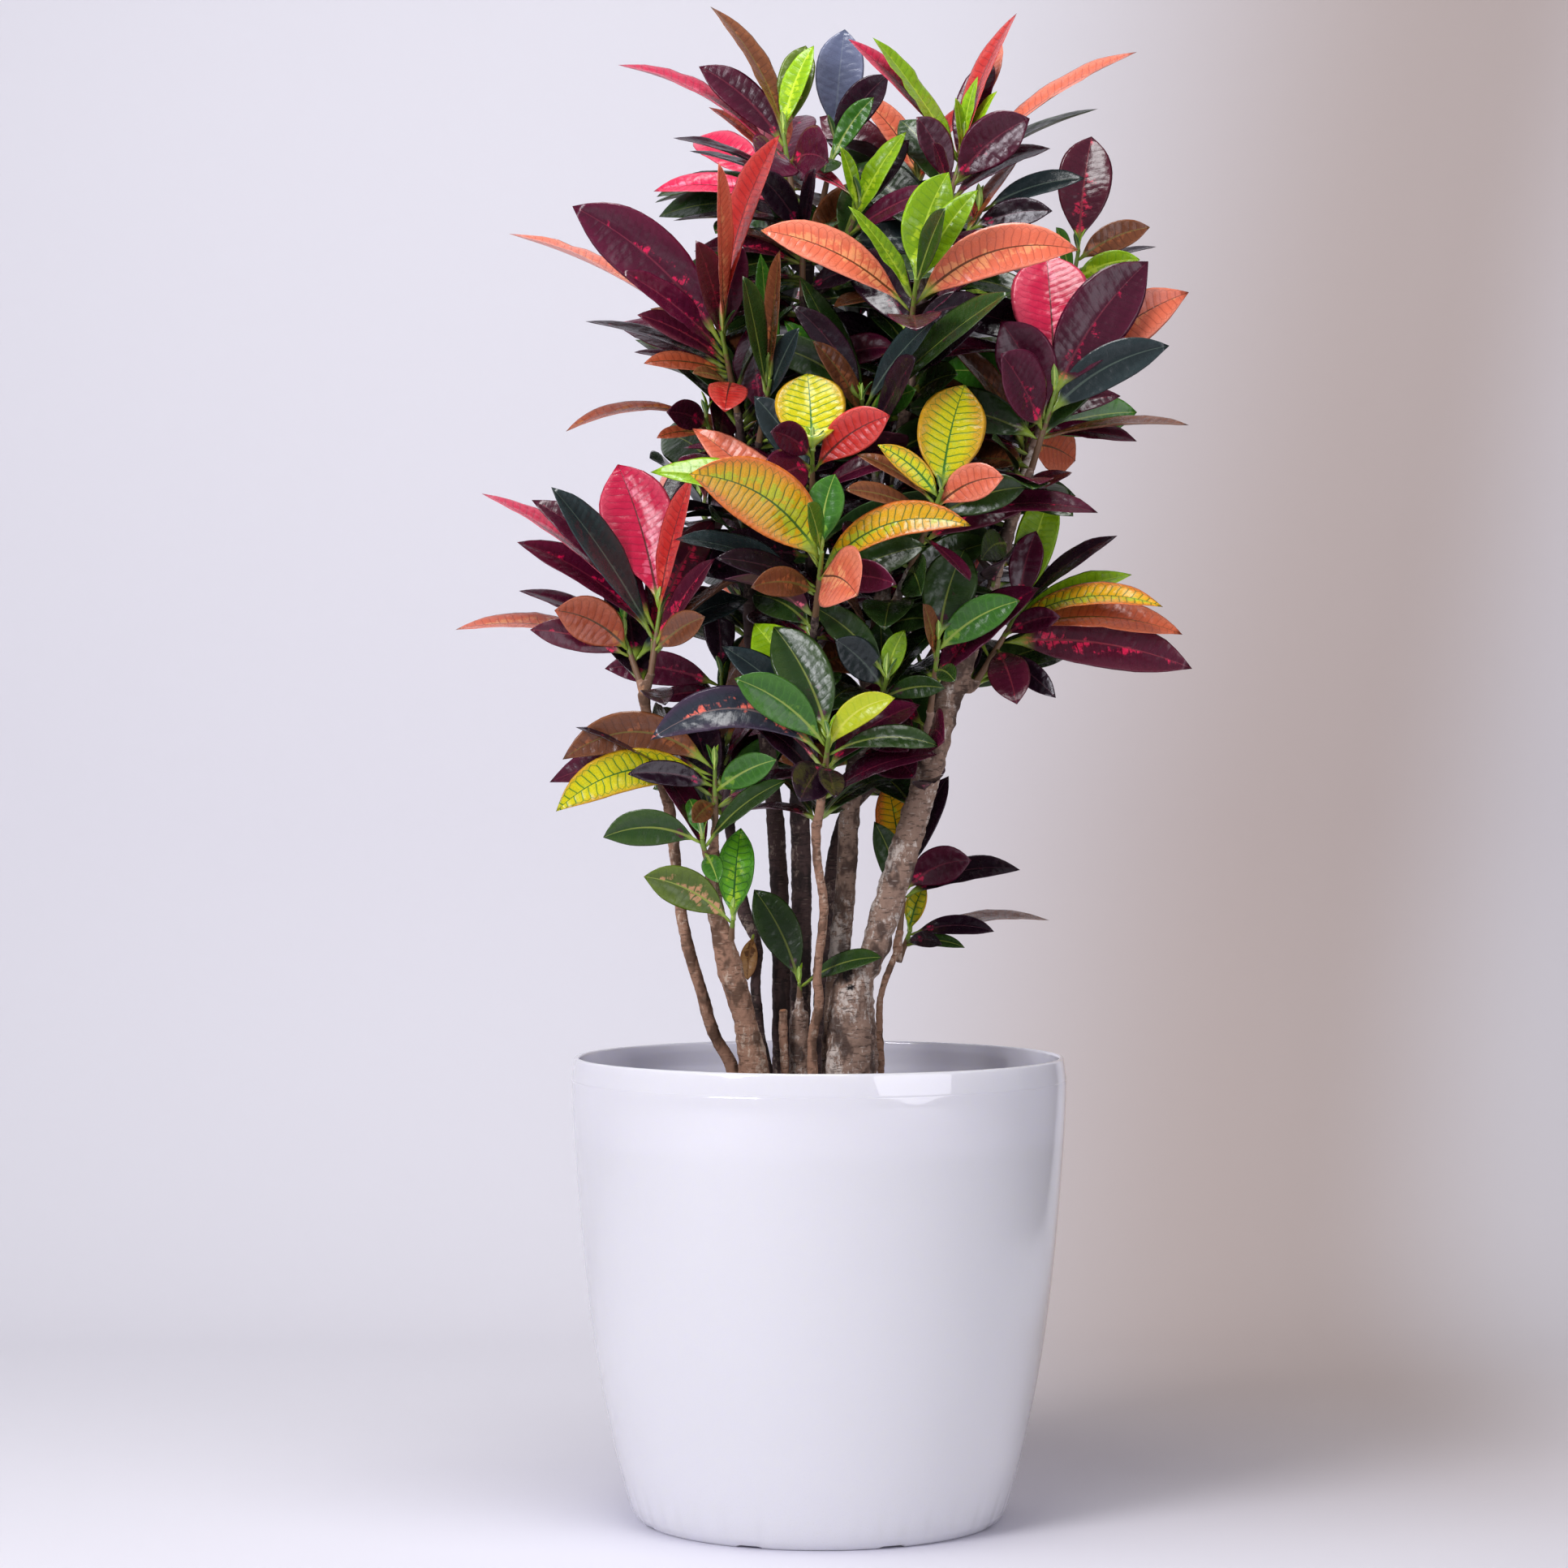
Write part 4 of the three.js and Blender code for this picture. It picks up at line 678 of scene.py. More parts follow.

# %% [markdown]
# ## Shoots and their leaves, by measured rows and one rule
# A shoot is a green stem with a rosette of leaves. On the near side each leaf was
# measured by itself: its colour, where its tip is seen, how far behind the bud it lies,
# how broad it looks, and how far it arches. Behind them, and on the far side, leaves
# follow the rule of the plant: each next leaf stands a golden angle round the stem.
# The solid model was made from the same rows. Where it bent a leaf clear of another it
# took the next of a fixed series of tries, so this script makes the same series and
# keeps the try whose tip is a corner of the solid shoot.

# %% Shoot rows: bud as (across, up, depth), stem length, lean of the stem, leaves
# A leaf is its colour, its tip as across, up, and depth behind the bud, its width and its
# arch. Colours: A amber with green veins, B blackish purple, C copper, D slate with salmon
# marks, E mid green, F yellow green, G dark green, H blue grey, which is a painted
# reflection of the sky on a dark leaf, K olive with tan marks, L lime, M maroon, N green
# with yellow marks, O orange brown, P pink, R red, S salmon, T slate sheen, V maroon with
# pink marks, W withered, Y yellow with green veins.
SHOOT_ROWS = {
    "crest_left": ((-22, 852, -10), 50, (-0.15, 0), [
        ("L", -3, 906, 10, 15, 4), ("K", -8, 906, 25, 22, 3), ("C", -67, 930, 10, 14, 8),
        ("M", -74, 893, 5, 22, 6), ("S", -24, 874, 22, 10, 2), ("M", -34, 827, -45, 35, 6),
        ("M", 6, 834, -45, 35, 6), ("P", -124, 894, 10, 12, 12), ("S", -68, 868, 15, 10, 3),
        ("B", -90, 849, -10, 7, 4), ("B", -80, 841, 15, 5, 3),
    ]),
    "crest_middle": ((10, 847, 20), 45, (0.2, 0.3), [
        ("H", 16, 916, 12, 30, 2), ("B", 43, 888, 15, 22, 4), ("G", 3, 827, -35, 18, 4),
        ("E", 34, 874, -25, 15, 4),
    ]),
    "crest_right": ((90, 844, -20), 48, (0.3, 0), [
        ("L", 98, 887, 0, 7, 2), ("L", 110, 878, -6, 7, 2), ("L", 84, 874, -8, 7, 2),
        ("P", 18, 910, -5, 14, 4), ("L", 33, 911, 18, 14, 3), ("R", 122, 926, 15, 12, 6),
        ("M", 106, 898, 5, 20, 4), ("S", 112, 910, 25, 18, 3), ("S", 196, 902, -10, 12, 8),
        ("G", 172, 867, 10, 8, 6), ("M", 130, 861, -20, 30, 6), ("M", 60, 862, -20, 22, 5),
        ("V", 70, 846, -40, 11, 3),
    ]),
    "upper_left": ((-10, 802, -40), 50, (0, -0.3), [
        ("P", -102, 816, 10, 15, 10), ("B", -90, 798, 20, 6, 4), ("B", -40, 828, -28, 20, 4),
        ("B", -2, 830, -35, 18, 4), ("G", 3, 784, -35, 16, 4),
    ]),
    "upper_middle": ((26, 810, -20), 48, (0.4, -0.1), [
        ("P", -37, 831, 0, 12, 8), ("L", 13, 844, -14, 11, 3), ("B", 56, 848, 12, 18, 4),
        ("L", 54, 853, -8, 15, 3), ("M", 72, 817, -25, 15, 4),
    ]),
    "front_top": ((60, 762, -100), 55, (0.1, -0.8), [
        ("L", 80, 828, -5, 28, 5), ("L", 98, 817, -22, 18, 4), ("G", 78, 806, -38, 15, 3),
        ("L", 18, 807, -5, 11, 3), ("S", 160, 780, 0, 29, 16), ("S", -36, 792, 0, 25, 10),
        ("M", 60, 730, -45, 32, 5), ("B", 103, 747, 15, 18, 4),
    ]),
    "right_top": ((100, 804, -10), 48, (0.6, 0.2), [
        ("T", 164, 824, -15, 15, 5), ("R", 89, 810, -42, 12, 3), ("B", 144, 804, -25, 18, 4),
        ("O", 124, 837, 10, 9, 3),
    ]),
    "right_back_top": ((160, 780, 30), 60, (0.2, 0.4), [
        ("V", 168, 850, 25, 34, 4), ("C", 204, 794, 0, 18, 4), ("B", 208, 782, 10, 6, 2),
        ("L", 198, 774, -20, 15, 4), ("E", 146, 794, -42, 15, 4),
    ]),
    "left_top": ((-60, 730, -60), 55, (-0.2, -0.6), [
        ("R", -24, 851, 10, 18, 10), ("S", -62, 834, 16, 20, 4), ("M", -47, 784, 8, 20, 3),
        ("M", -76, 786, -12, 25, 4), ("M", -152, 807, -10, 38, 10), ("S", -191, 790, 6, 11, 10),
        ("M", -122, 767, 14, 16, 5), ("V", -112, 740, -20, 15, 4), ("B", -144, 736, 10, 8, 4),
        ("O", -108, 710, -5, 12, 4), ("M", -114, 717, 16, 7, 3), ("R", -58, 680, -42, 24, 4),
        ("C", -78, 704, -12, 7, 3),
    ]),
    "right_large": ((146, 694, -66), 50, (0.3, -0.2), [
        ("P", 140, 778, 36, 48, 4), ("M", 203, 773, 10, 40, 6), ("S", 228, 754, 20, 32, 10),
        ("T", 216, 721, 0, 25, 8), ("M", 112, 736, -5, 35, 5), ("M", 112, 716, -38, 35, 4),
    ]),
    "right_fan": ((128, 670, -12), 30, (0.1, 0.6), [
        ("M", 186, 690, 6, 15, 5), ("M", 196, 662, -6, 12, 4), ("E", 196, 680, -32, 25, 4),
        ("C", 228, 672, 16, 7, 5), ("O", 158, 650, 32, 30, 4), ("B", 96, 684, -12, 18, 4),
    ]),
    "heart_dark": ((26, 688, -60), 45, (-0.2, -0.4), [
        ("G", -40, 722, -10, 22, 8), ("B", -17, 746, 5, 18, 6), ("T", 72, 737, -20, 15, 5),
        ("G", 118, 754, 10, 18, 5), ("C", -4, 724, -6, 14, 4), ("E", 60, 694, -42, 18, 4),
        ("G", -12, 764, 12, 18, 3), ("E", -22, 737, 0, 18, 3), ("B", 60, 714, -32, 15, 3),
    ]),
    "heart_left": ((-30, 700, -70), 45, (0.2, -0.8), [
        ("C", -24, 780, 8, 12, 3), ("E", -36, 778, 22, 14, 3), ("G", -47, 764, -6, 15, 3),
        ("T", -12, 732, -25, 15, 3),
    ]),
    "left_low_top": ((-70, 677, -30), 45, (-0.3, -0.4), [
        ("O", -156, 668, 0, 9, 10), ("M", -94, 680, -30, 18, 3), ("O", -100, 664, -16, 8, 3),
        ("B", -96, 620, -26, 15, 2), ("M", -52, 654, -36, 15, 3),
    ]),
    "gold_middle": ((-4, 657, -100), 50, (0, -1), [
        ("Y", -7, 704, 26, 42, 3), ("M", -30, 668, -30, 19, 4), ("M", -34, 632, -36, 28, 4),
        ("R", 44, 678, -12, 25, 6), ("T", -40, 690, 6, 22, 3),
    ]),
    "gold_left": ((2, 594, -130), 55, (0.1, -1.2), [
        ("E", 10, 642, 0, 22, 3), ("E", -7, 624, -26, 18, 3), ("A", -80, 642, -5, 39, 14),
        ("L", -104, 643, 10, 22, 18), ("S", -78, 670, 26, 25, 8), ("A", 94, 610, -10, 21, 16),
        ("S", 24, 567, -28, 40, 6), ("M", 48, 574, -20, 20, 5), ("B", -64, 590, -6, 15, 4),
        ("C", -42, 572, -22, 18, 5),
    ]),
    "gold_right": ((76, 632, -110), 60, (0.4, -0.9), [
        ("Y", 90, 697, 22, 40, 4), ("Y", 36, 660, -6, 14, 4), ("C", 23, 654, 12, 10, 4),
        ("S", 114, 640, -18, 22, 6), ("C", 16, 632, -18, 12, 4), ("G", 128, 634, 0, 22, 5),
        ("M", 172, 618, 0, 15, 10), ("M", 93, 576, -22, 8, 2),
    ]),
    "pink_left": ((-98, 557, -70), 38, (0.15, -0.1), [
        ("P", -124, 648, 32, 44, 4), ("B", -84, 644, 20, 12, 3), ("R", -78, 640, 8, 14, 4),
        ("V", -64, 614, -12, 22, 5), ("P", -208, 630, 16, 10, 8), ("M", -177, 626, 4, 22, 10),
        ("M", -186, 600, 0, 18, 8), ("T", -165, 634, 26, 20, 4), ("V", -64, 590, -28, 12, 3),
        ("C", -70, 554, -24, 18, 3),
    ]),
    "pink_left_low": ((-120, 542, -60), 28, (-0.35, 0.1), [
        ("E", -118, 592, 0, 8, 1), ("M", -185, 570, 6, 10, 5), ("S", -224, 546, 0, 10, 8),
        ("O", -163, 558, -28, 28, 6), ("V", -178, 546, -22, 18, 4),
    ]),
    "back_left_low": ((-60, 517, 60), 40, (0, 0.2), [
        ("B", -64, 567, 10, 20, 3), ("M", -132, 522, 0, 22, 6), ("M", -100, 503, -12, 11, 3),
        ("C", -32, 552, -32, 8, 4),
    ]),
    "right_low": ((126, 562, -40), 55, (0.6, 0), [
        ("L", 144, 632, 26, 25, 4), ("M", 134, 607, 8, 20, 3), ("B", 184, 604, 0, 11, 5),
        ("L", 193, 580, 12, 14, 4), ("A", 212, 560, -10, 14, 12), ("O", 224, 543, -12, 18, 10),
        ("M", 149, 554, -28, 15, 4), ("V", 230, 522, -16, 31, 8), ("V", 122, 500, -46, 25, 4),
        ("B", 146, 504, -30, 15, 3),
    ]),
    "right_low_front": ((74, 540, -90), 50, (0.1, -0.6), [
        ("G", 90, 596, 16, 32, 4), ("E", 124, 564, -5, 22, 5), ("C", 64, 562, -16, 15, 3),
        ("G", 84, 514, -32, 12, 3),
    ]),
    "green_front": ((6, 480, -120), 36, (0.1, -0.8), [
        ("G", -28, 548, 20, 32, 5), ("L", -40, 550, 46, 35, 4), ("T", -60, 536, 22, 20, 5),
        ("E", -52, 516, 0, 25, 6), ("F", 47, 504, -5, 17, 8), ("G", 74, 474, 6, 14, 8),
        ("D", -104, 478, -5, 25, 24), ("B", -12, 440, -36, 25, 3), ("B", 10, 442, -30, 15, 3),
    ]),
    "green_middle": ((42, 516, -80), 40, (0.3, -1.2), [
        ("G", -3, 560, 6, 20, 5), ("L", 53, 546, 0, 14, 2), ("T", 10, 540, -14, 22, 3),
        ("G", 38, 552, 20, 18, 3), ("G", 78, 510, -10, 14, 4),
    ]),
    "left_leaf_fan": ((-64, 460, -80), 36, (0, -0.2), [
        ("C", -158, 466, 0, 25, 20), ("M", -166, 452, 12, 22, 10), ("Y", -162, 434, -15, 25, 16),
        ("B", -118, 457, -22, 15, 4), ("E", -26, 466, -26, 19, 3), ("B", -150, 486, 20, 6, 4),
        ("C", -78, 427, -30, 13, 2),
    ]),
    "left_leaf_low": ((-72, 417, -92), 22, (-0.2, -0.5), [
        ("E", -80, 442, -10, 12, 2), ("G", -133, 418, -5, 22, 8), ("G", -20, 453, -10, 12, 5),
        ("E", -62, 390, -28, 13, 2),
    ]),
    "left_cane_sprout": ((-53, 367, -78), 14, (0.1, -0.7), [
        ("N", -48, 424, 16, 22, 3), ("K", -108, 394, -5, 24, 6),
    ]),
    "stub_sprout": ((-12, 327, -30), 8, (0, -0.2), [
        ("G", -40, 386, 10, 25, 4), ("G", 39, 344, -12, 11, 5),
    ]),
    "right_back_low": ((53, 392, 20), 32, (0.1, 0), [
        ("B", 80, 456, 20, 18, 4), ("A", 42, 453, 32, 25, 3), ("M", 94, 404, -20, 24, 6),
        ("B", 124, 398, 6, 15, 8), ("G", 34, 428, 12, 18, 3),
    ]),
    "right_back_sprout": ((56, 360, 36), 22, (0.4, 0.6), [
        ("Y", 66, 390, -10, 14, 2), ("B", 108, 360, -10, 12, 5), ("C", 142, 367, 10, 6, 6),
        ("B", 76, 352, -30, 10, 3), ("G", 90, 350, -12, 8, 4),
    ]),
}
BACK_ROWS = {
    "back_low_left": ((-40, 560, 105), 55, (0.1, 0.5)),
    "back_low_middle": ((18, 540, 118), 55, (-0.3, 0.9)),
    "back_low_right": ((92, 570, 92), 60, (0.6, 0.6)),
    "back_middle_left": ((-74, 625, 72), 60, (-0.4, 0.8)),
    "back_middle": ((22, 650, 128), 60, (-0.3, 0.9)),
    "back_middle_right": ((112, 640, 70), 65, (0.9, 0.1)),
    "back_upper_left": ((-62, 735, 66), 60, (-0.2, 0.8)),
    "back_upper": ((10, 745, 118), 55, (-0.5, 0.9)),
    "back_upper_right": ((96, 735, 92), 60, (0.9, 0.4)),
    "back_crest_left": ((-34, 815, 70), 50, (-0.3, 1)),
    "back_crest_right": ((62, 822, 82), 50, (0.4, 0.3)),
}
SHOOTS, BACK_SHOOTS = (
    {name: dict(zip(("bud", "stem", "lean", "leaves"), row)) for name, row in table.items()}
    for table in (SHOOT_ROWS, BACK_ROWS)
)
print(len(SHOOTS), "measured shoots,", len(BACK_SHOOTS), "on the far side")

# %% The rule that places a leaf
UP = Vector((0, 0, 1))
GOLDEN_ANGLE = math.radians(137.508)
TOP_ROOT = 0.97                       # of the stem's length, for its youngest leaf
ROOT_SPAN = 0.82                      # the share of a stem that bears leaves
FRONT_FILL = 2                        # leaves added behind the measured ones
BACK_FILL = 8                         # leaves of a shoot on the far side
MEASURED_TRIES = 13
FILL_TRIES = 9
DEPTH_STEP = 13.0
HEADING_STEP = 0.35                   # radians
FILL_LENGTH = (62.0, 92.0)
FILL_RISE = (math.radians(-4), math.radians(58))
FILL_TURN = (math.radians(-5), math.radians(60))
FILL_WIDTH = 0.38
FILL_ARCH = 0.09
LEAST_WIDTH = 0.27                    # of its length, for a leaf that is seen edge-on
MOST_WIDTH = 0.5
MOST_TURN = math.radians(105)
SAME_CORNER = 0.1                     # mm


def draw(row, column):
    """A seeded draw between 0 and 1 that depends only on its two whole numbers. What is
    added to them where it is called only keeps one kind of draw apart from another."""
    wave = math.sin(row * 12.9898 + column * 78.233) * 43758.5453
    return wave - math.floor(wave)


def between(limits, share):
    """A value between two limits."""
    return limits[0] + (limits[1] - limits[0]) * share


def swing(attempt):
    """Alternating steps: 0, -1, 1, -2, 2 and so on."""
    return attempt / 2 if attempt % 2 == 0 else -(attempt + 1) / 2


def stem_line(plan):
    """The foot and the bud of a green stem."""
    bud = seen(*plan["bud"])
    along = Vector((*plan["lean"], 1)).normalized()
    return bud - along * plan["stem"], bud


def root_of(plan, order, count):
    """Where the leaf of an order number starts: from the bud down the stem."""
    foot, bud = stem_line(plan)
    return foot.lerp(bud, TOP_ROOT - ROOT_SPAN * order / count)


def measured_leaf(kind, root, tip, width, arch):
    """A leaf whose blade is turned until it looks as wide as it was measured."""
    along = (tip - root).normalized()
    length = (tip - root).length
    upper = (UP - along * along.dot(UP)).normalized()
    side = along.cross(upper)
    if side.y > 0:
        side.negate()
    most = max(width, LEAST_WIDTH * length)
    full = min(most, max(MOST_WIDTH * length, width))
    facing = math.atan2(-side.y, -upper.y)
    turn = min(facing - math.acos(min(1, width / full)), MOST_TURN)
    normal = upper * math.cos(turn) + side * math.sin(turn)
    return {"kind": kind, "root": root, "tip": tip, "upper": upper, "normal": normal,
            "arch": arch, "length": length, "width": full}


def filled_leaf(kind, root, heading, rise, turn, length):
    """A leaf placed by the rule, with its blade turned about its length."""
    along = Vector((math.cos(heading) * math.cos(rise), math.sin(heading) * math.cos(rise),
                    math.sin(rise)))
    upper = (UP - along * along.dot(UP)).normalized()
    normal = upper * math.cos(turn) + along.cross(upper) * math.sin(turn)
    return {"kind": kind, "root": root, "tip": root + along * length, "upper": upper,
            "normal": normal, "arch": length * FILL_ARCH, "length": length,
            "width": length * FILL_WIDTH}


def tries_of(plan, order, count, seed):
    """The series of tries for one leaf of a shoot, measured or filled."""
    rows = plan.get("leaves", ())
    root = root_of(plan, order, count)
    if order < len(rows):
        kind, across, up, depth, width, arch = rows[order]
        for attempt in range(MEASURED_TRIES):
            away = plan["bud"][2] + depth + DEPTH_STEP * swing(attempt)
            yield measured_leaf(kind, root, seen(across, up, away), width, arch)
        return
    order -= len(rows)
    kind = fill_kind(order, seed, not rows)
    length = between(FILL_LENGTH, draw(order, seed))
    for attempt in range(FILL_TRIES):
        heading = seed + order * GOLDEN_ANGLE + HEADING_STEP * swing(attempt)
        rise = between(FILL_RISE, draw(seed, order + attempt))
        turn = between(FILL_TURN, draw(seed + attempt, order))
        turn *= math.copysign(1, math.cos(heading))
        yield filled_leaf(kind, root, heading, rise, turn, length)

# %% Colours that the rule gives to the leaves behind
YOUNG_LEAVES = 2
YOUNG_KINDS = "LNSYPAR"               # near the bud, where a shoot is bright
GROWN_KINDS = "GMGBCMGTBVGM"          # further down, where it has darkened


def fill_kind(order, seed, far_side):
    """Young leaves are bright and grown ones dark. Behind measured ones all are grown."""
    kinds = YOUNG_KINDS if far_side and order < YOUNG_LEAVES else GROWN_KINDS
    return kinds[int(draw(seed * 3, order * 5 + 2) * len(kinds))]

# %% The leaves that the solid shoots have
def corners_of(node):
    """A search tree, in millimetres, over the corners of a node's solid."""
    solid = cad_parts[node].data
    corners = KDTree(len(solid.vertices))
    for corner in solid.vertices:
        corners.insert(corner.co / MM, corner.index)
    corners.balance()
    return corners


def leaves_of(name, plan, seed):
    """The leaves that the solid shoot has: of each series, the try whose tip is its corner."""
    corners = corners_of("shoot_" + name)
    count = len(plan["leaves"]) + FRONT_FILL if "leaves" in plan else BACK_FILL
    leaves = []
    for order in range(count):
        for leaf in tries_of(plan, order, count, seed):
            if corners.find(leaf["tip"])[2] < SAME_CORNER:
                leaves.append({**leaf, "order": order, "seed": seed})
                break
    return leaves


plans = {**SHOOTS, **BACK_SHOOTS}
shoot_leaves = {
    name: leaves_of(name, plan, seed + 1) for seed, (name, plan) in enumerate(plans.items())
}
found = sum(len(leaves) for leaves in shoot_leaves.values())
measured = sum(
    leaf["order"] < len(plans[name].get("leaves", ()))
    for name, leaves in shoot_leaves.items() for leaf in leaves
)
print(found, "leaves found in the solid shoots,", measured, "of them measured")

# %% [markdown]
# ## Twigs
# Each shoot stands on a twig that leaves its cane at a fork and bends up into line with
# the green stem. The solid model took the first of a series of forks that left the twig
# clear, so this script makes the same series and keeps the one that the solid agrees
# with.

# %% Forks: which cane bears a shoot, and at what height its twig leaves it
FORKS = {
    "left_slender": {"pink_left": 506, "pink_left_low": 494},
    "left_stout": {"left_leaf_fan": 408, "left_leaf_low": 382, "left_cane_sprout": 340},
    "dark_left": {
        "left_top": 650, "heart_left": 625, "left_low_top": 595, "back_middle_left": 560,
        "back_upper_left": 655,
    },
    "back_slender": {"back_left_low": 440, "back_low_left": 452},
    "centre_dark": {
        "crest_left": 745, "crest_middle": 755, "upper_left": 715, "upper_middle": 735,
        "gold_middle": 575, "gold_left": 500, "back_crest_left": 765,
    },
    "front_slender": {"green_front": 424},
    "middle": {
        "crest_right": 770, "front_top": 680, "right_top": 750, "heart_dark": 610,
        "gold_right": 540, "green_middle": 465,
    },
    "back_dark": {
        "back_low_middle": 470, "back_low_right": 500, "back_middle": 590,
        "back_middle_right": 580, "back_upper": 700, "back_upper_right": 690,
        "back_crest_right": 755,
    },
    "main": {
        "right_back_top": 628, "right_large": 612, "right_fan": 630, "right_low": 492,
        "right_low_front": 455,
    },
    "short_stub": {"stub_sprout": 310},
    "right_thin": {"right_back_low": 348, "right_back_sprout": 332},
}
TWIG_RADIUS = (3.1, 2.4)              # at the cane and at the green stem
TWIG_BEND = 0.45                      # of its span, how far it comes in along the stem's line
JOINT_GAP = 0.7                       # between a solid twig's end and the green stem
JOINT_OVERLAP = 1.2                   # how far this script's twig runs into the stem
FORK_TRIES = 25
FORK_STEP = 9                         # mm
FORK_MISS = 1.0                       # mm that the middle ring may be off at most
TWIG_STEPS = 28


def at_height(line, height):
    """The point of a cane's line at a height."""
    upper = next(k for k, point in enumerate(line) if point.z >= height or k == len(line) - 1)
    low, high = line[max(0, upper - 1)], line[upper]
    share = (height - low.z) / (high.z - low.z) if high.z > low.z else 0
    return low.lerp(high, min(1, max(0, share)))


def runs_of(line):
    """The distance along a line at each of its points."""
    runs = [0.0]
    for a, b in zip(line, line[1:]):
        runs.append(runs[-1] + (b - a).length)
    return runs


def point_at(line, runs, run):
    """The point of a line at a distance along it."""
    return Vector([np.interp(run, runs, [point[axis] for point in line]) for axis in range(3)])


def twig_line(line, height, plan, gap):
    """The twig's bent line from the cane up into the green stem."""
    foot, bud = stem_line(plan)
    lean = (bud - foot).normalized()
    start, end = at_height(line, height), foot - lean * gap
    bend = end - lean * TWIG_BEND * (start - end).length
    shares = [k / TWIG_STEPS for k in range(TWIG_STEPS + 1)]
    return [start.lerp(bend, t).lerp(bend.lerp(end, t), t) for t in shares]


def fork_height(name, shoot, height):
    """The height of the fork whose twig the solid cane has: its middle ring fits."""
    corners = corners_of("cane_" + name)
    wanted = sum(TWIG_RADIUS) / 2
    best = (FORK_MISS, height)
    for attempt in range(FORK_TRIES):
        tried = height + FORK_STEP * swing(attempt)
        line = twig_line(cane_lines[name], tried, plans[shoot], JOINT_GAP)
        runs = runs_of(line)
        middle = point_at(line, runs, runs[-1] / 2)
        error = abs(corners.find(middle)[2] - wanted)
        best = min(best, (error, tried))
    return best[1]


twigs = {}
for name, forks in FORKS.items():
    for shoot, height in forks.items():
        fork = fork_height(name, shoot, height)
        twigs[shoot] = twig_line(cane_lines[name], fork, plans[shoot], -JOINT_OVERLAP)
print(len(twigs), "twigs")

# %% [markdown]
# ## Leaves inside the crown
# A croton keeps its oldest and darkest leaves deep in the crown, on the twigs below the
# green stems and on the canes round each fork. There the leaves stand at even steps,
# turned by the golden angle.
# Of each leaf's tries the first is kept that crosses no solid and no earlier inner leaf,
# stays inside the crown's outline, and lies behind the measured leaves, but for two at
# most of the 21 points that are tried on its blade.

# %% Inner leaves by rule
CROWN = [                             # [up, left, right] on the plane through the axis
    (430, -120, 80), (500, -105, 80), (530, -140, 180), (600, -150, 165), (650, -110, 160),
    (690, -105, 195), (740, -130, 205), (790, -120, 180), (850, -85, 150), (905, -50, 100),
]
INNER_SPACING = 7.0
FORK_REACH = 45.0                     # mm up and down a cane from a fork
INNER_SPAN = (0.2, 0.98)              # of a twig's length
INNER_LENGTH = (46.0, 90.0)
INNER_RISE = (math.radians(-14), math.radians(50))
INNER_TURN = (math.radians(-10), math.radians(75))
INNER_TRIES = 40
INNER_KINDS = "GBMGGBMGCMBGEG"
BOX_MARGIN = 5.0                      # mm kept inside the solid model's box
SHEET_STEPS = 6
BLADE_START = 0.2
LEAST_SINE = 0.05                     # keeps some width at the blade's two ends
BLADE_FULLNESS = 0.8                  # under 1, the blade stays wide nearer to its ends
BLADE_FOLD = 0.2
MOST_HIDING = 2                       # points of a blade in front of a measured leaf
FIRST_TURN = 1.7                      # radians from one line's first leaf to the next's
INNER_ORDER = 100                     # added to an inner leaf's number in its shoot
WITHERED = {"kind": "W", "root": seen(-40, 359, 9), "tip": seen(-44, 330, -2), "width": 11,
            "arch": 3}


def blade_sheet(leaf):
    """The blade as a coarse folded strip, from where its stalk ends."""
    middle = leaf["root"].lerp(leaf["tip"], 0.5) + leaf["upper"] * 2 * leaf["arch"]
    points, faces = [], []
    for step in range(SHEET_STEPS + 1):
        share = between((BLADE_START, 1.0), step / SHEET_STEPS)
        near, far = leaf["root"].lerp(middle, share), middle.lerp(leaf["tip"], share)
        forward = (far - near).normalized()
        side = forward.cross(leaf["normal"]).normalized()
        bulge = max(LEAST_SINE, math.sin(math.pi * share)) ** BLADE_FULLNESS
        half = leaf["width"] / 2 * bulge
        edge = side.cross(forward) * half * BLADE_FOLD
        spine = near.lerp(far, share)
        points += [spine - side * half + edge, spine, spine + side * half + edge]
    for row in range(0, 3 * SHEET_STEPS, 3):
        faces += [(row, row + 1, row + 4, row + 3), (row + 1, row + 2, row + 5, row + 4)]
    return points, BVHTree.FromPolygons(points, faces)


def solid_tree(names):
    """One search tree, in millimetres, over the solids of some nodes."""
    points, faces = [], []
    for name in names:
        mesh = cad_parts[name].data
        first = len(points)
        points += [corner.co / MM for corner in mesh.vertices]
        faces += [[first + k for k in face.vertices] for face in mesh.polygons]
    return BVHTree.FromPolygons(points, faces)


def in_crown(point):
    """Is a point inside the crown's outline seen from the front, and inside the box?"""
    for value, low, high in zip(point, *CAD_BOX):
        if not low / MM + BOX_MARGIN < value < high / MM - BOX_MARGIN:
            return False
    scale = 1 - point.y / EYE_MM.y
    across = EYE_MM.x + (point.x - EYE_MM.x) / scale
    up = EYE_MM.z + (point.z - EYE_MM.z) / scale
    if not CROWN[0][0] < up < CROWN[-1][0]:
        return False
    left, right = (np.interp(up, [row[0] for row in CROWN], [row[k] for row in CROWN])
                   for k in (1, 2))
    return left < across < right


def hides(points, measured_tree):
    """How many of a blade's points stand in front of a measured leaf."""
    count = 0
    for point in points:
        sight = point - EYE_MM
        reach = measured_tree.ray_cast(EYE_MM, sight.normalized())[3]
        count += reach is not None and reach > sight.length
    return count


def fork_stretch(cane, fork):
    """The stretch of a cane's line on both sides of a fork, from above down."""
    steps = [fork + FORK_REACH * (1 - 2 * k / TWIG_STEPS) for k in range(TWIG_STEPS + 1)]
    top = cane_lines[cane][-1].z
    return [at_height(cane_lines[cane], min(height, top)) for height in reversed(steps)]

